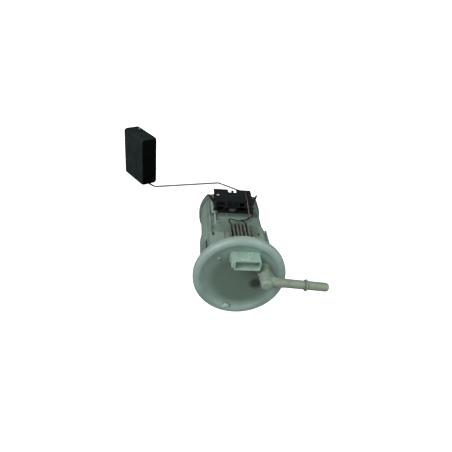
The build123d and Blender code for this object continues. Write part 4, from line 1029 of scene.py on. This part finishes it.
def pips_recipe(finish: Finish) -> Recipe:
    """A grid of low domes in the XY plane.

    Args:
        finish: the domes' finish.

    Returns:
        The tree, with Length, Width, Columns, Rows, Radius and Rise inputs.
    """
    r = Recipe("grid_of_pips", {"Length": 40 * MM, "Width": 20 * MM, "Columns": 6, "Rows": 4,
                                "Radius": MM, "Rise": 0.4})
    length, width, columns, rows, radius, rise = r.inputs()
    grid = r.sig("GeometryNodeMeshGrid", None,
                 {"Size X": length, "Size Y": width, "Vertices X": columns, "Vertices Y": rows})
    ball = r.sig("GeometryNodeMeshUVSphere", None, {"Segments": 12, "Rings": 6, "Radius": radius})
    flat = r.vector(1.0, 1.0, rise)
    pips = r.sig("GeometryNodeInstanceOnPoints", None, {"Points": grid, "Instance": ball, "Scale": flat})
    return r.close(pips, finish)


# ---- studio
@dataclass(frozen=True)
class Lamp:
    """A square area light: where it hangs in millimetres, its side in metres, watts and colour."""

    name: str
    place: Triple
    side: float
    power: float
    colour: Triple

    def hang(self, aim: Triple) -> None:
        """Make the light.

        Args:
            aim: what it looks at, in millimetres.
        """
        data = bpy.data.lights.new(self.name, "AREA")
        data.shape = "SQUARE"
        data.size = self.side
        data.energy = self.power
        data.color = self.colour
        lamp = linked(self.name, data)
        lamp.location = Vector(self.place) * MM
        way = Vector(aim) - Vector(self.place)
        lamp.rotation_euler = way.to_track_quat("-Z", "Y").to_euler()


@dataclass
class Studio:
    """Camera, lights, floor and surroundings."""

    position: Triple = (60.9, -266.0, 329.1)
    right: Triple = (-0.9931, -0.0980, 0.0639)
    up: Triple = (0.0484, -0.8416, -0.5379)
    back: Triple = (0.1065, -0.5311, 0.8406)
    focal_px: float = 409.95
    sensor: float = 36.0
    clip: Point = (0.005, 50.0)
    floor_z: float = -420.0
    floor_half: float = 6000.0
    floor_depth: float = 10.0
    fade: Point = (-0.6, 0.8)
    glow: Point = (0.1, 0.3)
    aim: Triple = (0.0, 0.0, -40.0)
    lamps: tuple[Lamp, ...] = (
        Lamp("key", (600.0, -640.0, 380.0), 0.45, 5.8, (1.0, 1.0, 0.99)),
        Lamp("fill", (-620.0, -420.0, 260.0), 0.9, 2.9, (0.97, 1.0, 0.98)))

    def camera(self) -> None:
        """Make the camera and use it."""
        data = bpy.data.cameras.new("camera")
        data.sensor_width = self.sensor
        data.lens = self.focal_px * self.sensor / IMAGE_WIDTH
        data.clip_start, data.clip_end = self.clip
        camera = linked("camera", data)
        turn = Matrix((self.right, self.up, self.back)).transposed().to_4x4()
        camera.matrix_world = Matrix.Translation(Vector(self.position) * MM) @ turn
        bpy.context.scene.camera = camera

    def surroundings(self) -> None:
        """World light that fades from above to below."""
        world = bpy.data.worlds.new("surroundings")
        world.use_nodes = True
        tree = Tree(world.node_tree)
        way = tree.node("ShaderNodeTexCoord").outputs["Generated"]
        height = tree.sig("ShaderNodeSeparateXYZ", None, {0: way}, "Z")
        ends = {"From Min": self.fade[0], "From Max": self.fade[1],
                "To Min": self.glow[0], "To Max": self.glow[1]}
        strength = tree.sig("ShaderNodeMapRange", None, {"Value": height, **ends})
        light = tree.sig("ShaderNodeBackground", None, {0: (1.0, 1.0, 1.0, 1.0), 1: strength})
        tree.node("ShaderNodeOutputWorld", None, {"Surface": light})
        bpy.context.scene.world = world

    def build(self) -> None:
        """Light the stage and lay the floor."""
        self.surroundings()
        bpy.context.scene.view_settings.view_transform = "Standard"
        half, low = self.floor_half, self.floor_z - self.floor_depth
        floor = linked("floor", block((-half, -half, low), (half, half, self.floor_z)))
        floor.data.materials.append(Palette.get(Palette.FLOOR))
        floor.visible_diffuse = False
        floor.visible_glossy = False
        floor.visible_transmission = False
        for lamp in self.lamps:
            lamp.hang(self.aim)


# ---- leads
@dataclass
class Leads:
    """The sender's two insulated leads, each on one smooth line."""

    radius: float = 0.65
    steps: int = 10
    sides: int = 4
    red: tuple[Triple, ...] = (
        (-13.0, -39.25, -103.0), (-13.0, -39.35, -92.0), (-12.9, -39.75, -83.6), (-13.5, -36.4, -78.8),
        (-15.2, -30.4, -76.4), (-15.8, -26.6, -72.2), (-12.6, -25.9, -66.4), (-8.4, -27.4, -61.6),
        (-4.2, -29.2, -60.2), (-4.4, -30.2, -56.8), (-8.0, -29.9, -55.0), (-8.7, -28.8, -49.8),
        (-8.6, -27.55, -44.0), (-8.6, -27.6, -38.5))
    black: tuple[Triple, ...] = (
        (-17.4, -32.6, -82.4), (-18.6, -32.0, -79.4), (-20.4, -29.6, -77.8), (-20.6, -26.4, -76.4),
        (-17.6, -24.6, -72.8), (-11.0, -24.5, -67.6), (-3.4, -25.6, -62.8), (3.2, -27.2, -62.6),
        (7.8, -28.8, -61.6), (9.6, -30.0, -56.4), (7.8, -29.6, -50.4), (7.4, -27.85, -44.6),
        (7.4, -27.6, -38.5))

    def lead(self, name: str, points: Sequence[Triple], finish: Finish, node: str) -> None:
        """One lead.

        Args:
            name: the piece's name.
            points: its control points in millimetres.
            finish: its finish.
            node: the CAD node that it stands for.
        """
        curve = bpy.data.curves.new(name, "CURVE")
        curve.dimensions = "3D"
        line = curve.splines.new("NURBS")
        line.points.add(len(points) - 1)
        for spot, point in zip(line.points, points):
            spot.co = (*[c * MM for c in point], 1.0)
        line.order_u = 3
        line.use_endpoint_u = True
        curve.resolution_u = self.steps
        curve.bevel_depth = self.radius * MM
        curve.bevel_resolution = self.sides
        curve.use_fill_caps = True
        curve.materials.append(Palette.get(finish))
        piece = linked(name, curve)
        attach(piece, Body.MODULE.value)
        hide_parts(node)
        log.info("%s: %d control points", name, len(points))

    def build(self) -> None:
        """Both leads."""
        self.lead("sender_lead_red", self.red, Palette.RED, "red_lead")
        self.lead("sender_lead_black", self.black, Palette.BLACK, "black_lead")


# ---- sub-assemblies
def reshow(name: str, node: str, finish: Finish, width: float = 0.0, segments: int = 2,
           body: Body = Body.MODULE) -> None:
    """Show a CAD node as a piece with softer edges.

    Args:
        name: the piece's name.
        node: the CAD node.
        finish: its finish.
        width: rounding in millimetres.
        segments: faces across each rounding.
        body: the body that it rides on.
    """
    show(name, softened(node, width, segments), finish, [node], body)


@dataclass
class Cover:
    """Flange cover with its plug socket."""

    rounding: float = 0.28
    blade_pitch: float = 4.2
    blade_count: int = 5
    blade_width: float = 2.2
    blade_thickness: float = 0.64
    blade_foot: float = -1.6
    blade_top: float = 13.4
    blade_point: float = 1.1

    def build(self) -> None:
        """Cover, socket and blades."""
        reshow("cover_dish", "flange_cover", Palette.COVER)
        reshow("plug_socket", "connector_housing", Palette.SOCKET, self.rounding, 3)
        first = PLUG[0] - self.blade_pitch * (self.blade_count - 1) / 2
        blades = row_recipe(Palette.PLATED).run(
            Matrix.Translation((first, PLUG[1], self.blade_foot)), Count=self.blade_count,
            Pitch=self.blade_pitch * MM, Width=self.blade_width * MM, Thickness=self.blade_thickness * MM,
            Height=(self.blade_top - self.blade_foot) * MM, Point=self.blade_point * MM)
        show("socket_blades", blades, Palette.PLATED, ["connector_blades"])


@dataclass
class Outlet:
    """Hose outlet: tower, grooved root and spigot run together with soft fillets."""

    cell: float = 0.22
    rounds: int = 4

    def build(self) -> None:
        """One moulding."""
        mesh = melted(softened("outlet_elbow", 0.0), self.cell, self.rounds)
        show("outlet", mesh, Palette.OUTLET, ["outlet_elbow"])


@dataclass
class Case:
    """Both shells of the case, the end cap and the terminal comb."""

    rounding: float = 0.3
    comb_rounding: float = 0.2

    def build(self) -> None:
        """Shells, cap and comb."""
        reshow("upper_shell", "upper_case", Palette.CASE, self.rounding)
        reshow("lower_shell", "lower_case", Palette.LOWER, self.rounding)
        reshow("bottom_cap", "end_cap", Palette.CAP, self.rounding)
        reshow("lead_comb", "terminal_comb", Palette.COMB, self.comb_rounding)


@dataclass
class Strainer:
    """Suction strainer: net bag with welded hem, neck and spacer pips."""

    x: float = 1.7
    top: float = -133.5
    thickness: float = 6.5
    length: float = 56.0
    width: float = 36.0
    rounding: float = 0.3
    pip_span: Point = (0.72, 0.6)
    pip_columns: int = 7
    pip_rows: int = 4
    pip_radius: float = 1.5
    pip_rise: float = 0.3
    pip_sink: float = 0.05

    def build(self) -> None:
        """Bag and pips."""
        reshow("strainer_bag", "suction_strainer", Palette.NET, self.rounding)
        recipe = pips_recipe(Palette.NET)
        pips = [recipe.run(Matrix.Translation((self.x, 0, z)), Length=self.length * self.pip_span[0] * MM,
                           Width=self.width * self.pip_span[1] * MM, Columns=self.pip_columns,
                           Rows=self.pip_rows, Radius=self.pip_radius * MM, Rise=self.pip_rise)
                for z in (self.top - self.pip_sink, self.top - self.thickness + self.pip_sink)]
        show("strainer_pips", smooth(joined(pips)), Palette.NET)


@dataclass
class Sender:
    """Level sender: frame, cover plate, button, arm holder and arm wire."""

    rounding: float = 0.22
    pin_r: float = 1.9
    cap_t: float = 0.3
    cap_rounding: float = 0.15
    cap_segments: int = 32

    def pin_cap(self) -> bpy.types.Mesh:
        """Thin disc on the locating pin's end, with a rounded rim."""
        outline: list[Point] = [(self.pin_r, 0.0)]
        for degrees in (0, 30, 60, 90):
            turn = math.radians(degrees)
            outline.append((self.pin_r - self.cap_rounding * (1 - math.cos(turn)),
                            self.cap_t - self.cap_rounding * (1 - math.sin(turn))))
        place = Matrix.Translation(LOCATING_PIN) @ Matrix.Rotation(math.pi / 2, 4, "X")
        return turned(outline, self.cap_segments, place)

    def build(self) -> None:
        """Frame, plate, button, holder, wire and the pale cap on the locating pin."""
        reshow("sender_body", "sender_frame", Palette.DARK, self.rounding)
        reshow("sender_plate", "sender_cover", Palette.DARK, self.rounding)
        reshow("lock_button", "base_button", Palette.BUTTON, self.rounding)
        reshow("arm_holder", "arm_hub", Palette.HUB, self.rounding, body=Body.ARM)
        reshow("arm_wire", "float_arm", Palette.WIRE, body=Body.ARM)
        show("pin_cap", self.pin_cap(), Palette.PIN)


@dataclass
class FloatBlock:
    """Foam float on the arm's last leg."""

    wire: Point = (114.9, -134.7)
    near: float = 39.7
    width: float = 44.2
    thickness: float = 20.6
    length: float = 57.5
    tilt: float = 55.3
    shift: Point = (-4.0, 1.5)
    rounding: float = 4.0
    segments: int = 6

    def frame(self) -> Matrix:
        """Frame at the float's near face, local X along its width and Z along the wire."""
        turn = Matrix.Rotation(math.radians(self.tilt), 4, "Y") @ Matrix.Rotation(math.pi / 2, 4, "X")
        return Matrix.Translation((self.wire[0], -self.near, self.wire[1])) @ turn

    def build(self) -> None:
        """The block with soft edges; its finish paints shade on one narrow side."""
        half, shift = Vector((self.width / 2, self.thickness / 2)), Vector(self.shift)
        solid = block((*(shift - half), 0.0), (*(shift + half), self.length), self.frame())
        mesh = smooth(bevelled(solid, self.rounding, self.segments), 50.0)
        show("float_block", mesh, Palette.FLOAT, ["foam_float"], Body.FLOAT)


class Kept:
    """Finishes of the CAD nodes that stay as they are."""

    NODES: tuple[tuple[Finish, str], ...] = (
        (Palette.SEAL, "flange_seal nipple_seal regulator_oring pump_isolator"),
        (Palette.VALVE, "check_valve_poppet check_valve_retainer"),
        (Palette.SPRING, "check_valve_spring regulator_spring regulator_clip"),
        (Palette.TRACK, "regulator_valve card_tracks contact_wiper"),
        (Palette.STEEL, "regulator_can pump_casing"), (Palette.CAST, "pump_inlet_cover chamber_plate"),
        (Palette.TIN, "comb_terminals sender_clips"), (Palette.CLIP, "float_clip"),
        (Palette.PUMP, "pump_outlet_cover"), (Palette.BLADE_WHEEL, "impeller"),
        (Palette.LAMINATION, "armature"), (Palette.COPPER, "armature_windings"),
        (Palette.FERRITE, "pump_magnets"), (Palette.MEDIA, "filter_element"),
        (Palette.CARD, "resistor_card"), (Palette.DECK, "manifold"))

    def dress(self) -> None:
        """Assign its finish to every node that is kept."""
        for finish, names in self.NODES:
            for node in names.split():
                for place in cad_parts[node].material_slots:
                    place.material = Palette.get(finish)
            log.info("%s: %s", finish.name, names)


def main() -> None:
    """Build every sub-assembly in order."""
    logging.basicConfig(level=logging.INFO, format="%(name)s: %(message)s")
    studio = Studio()
    studio.camera()
    for part in (Leads(), Cover(), Outlet(), Case(), Strainer(), Sender(), FloatBlock()):
        part.build()
    Kept().dress()
    studio.build()


if __name__ == "__main__":
    main()
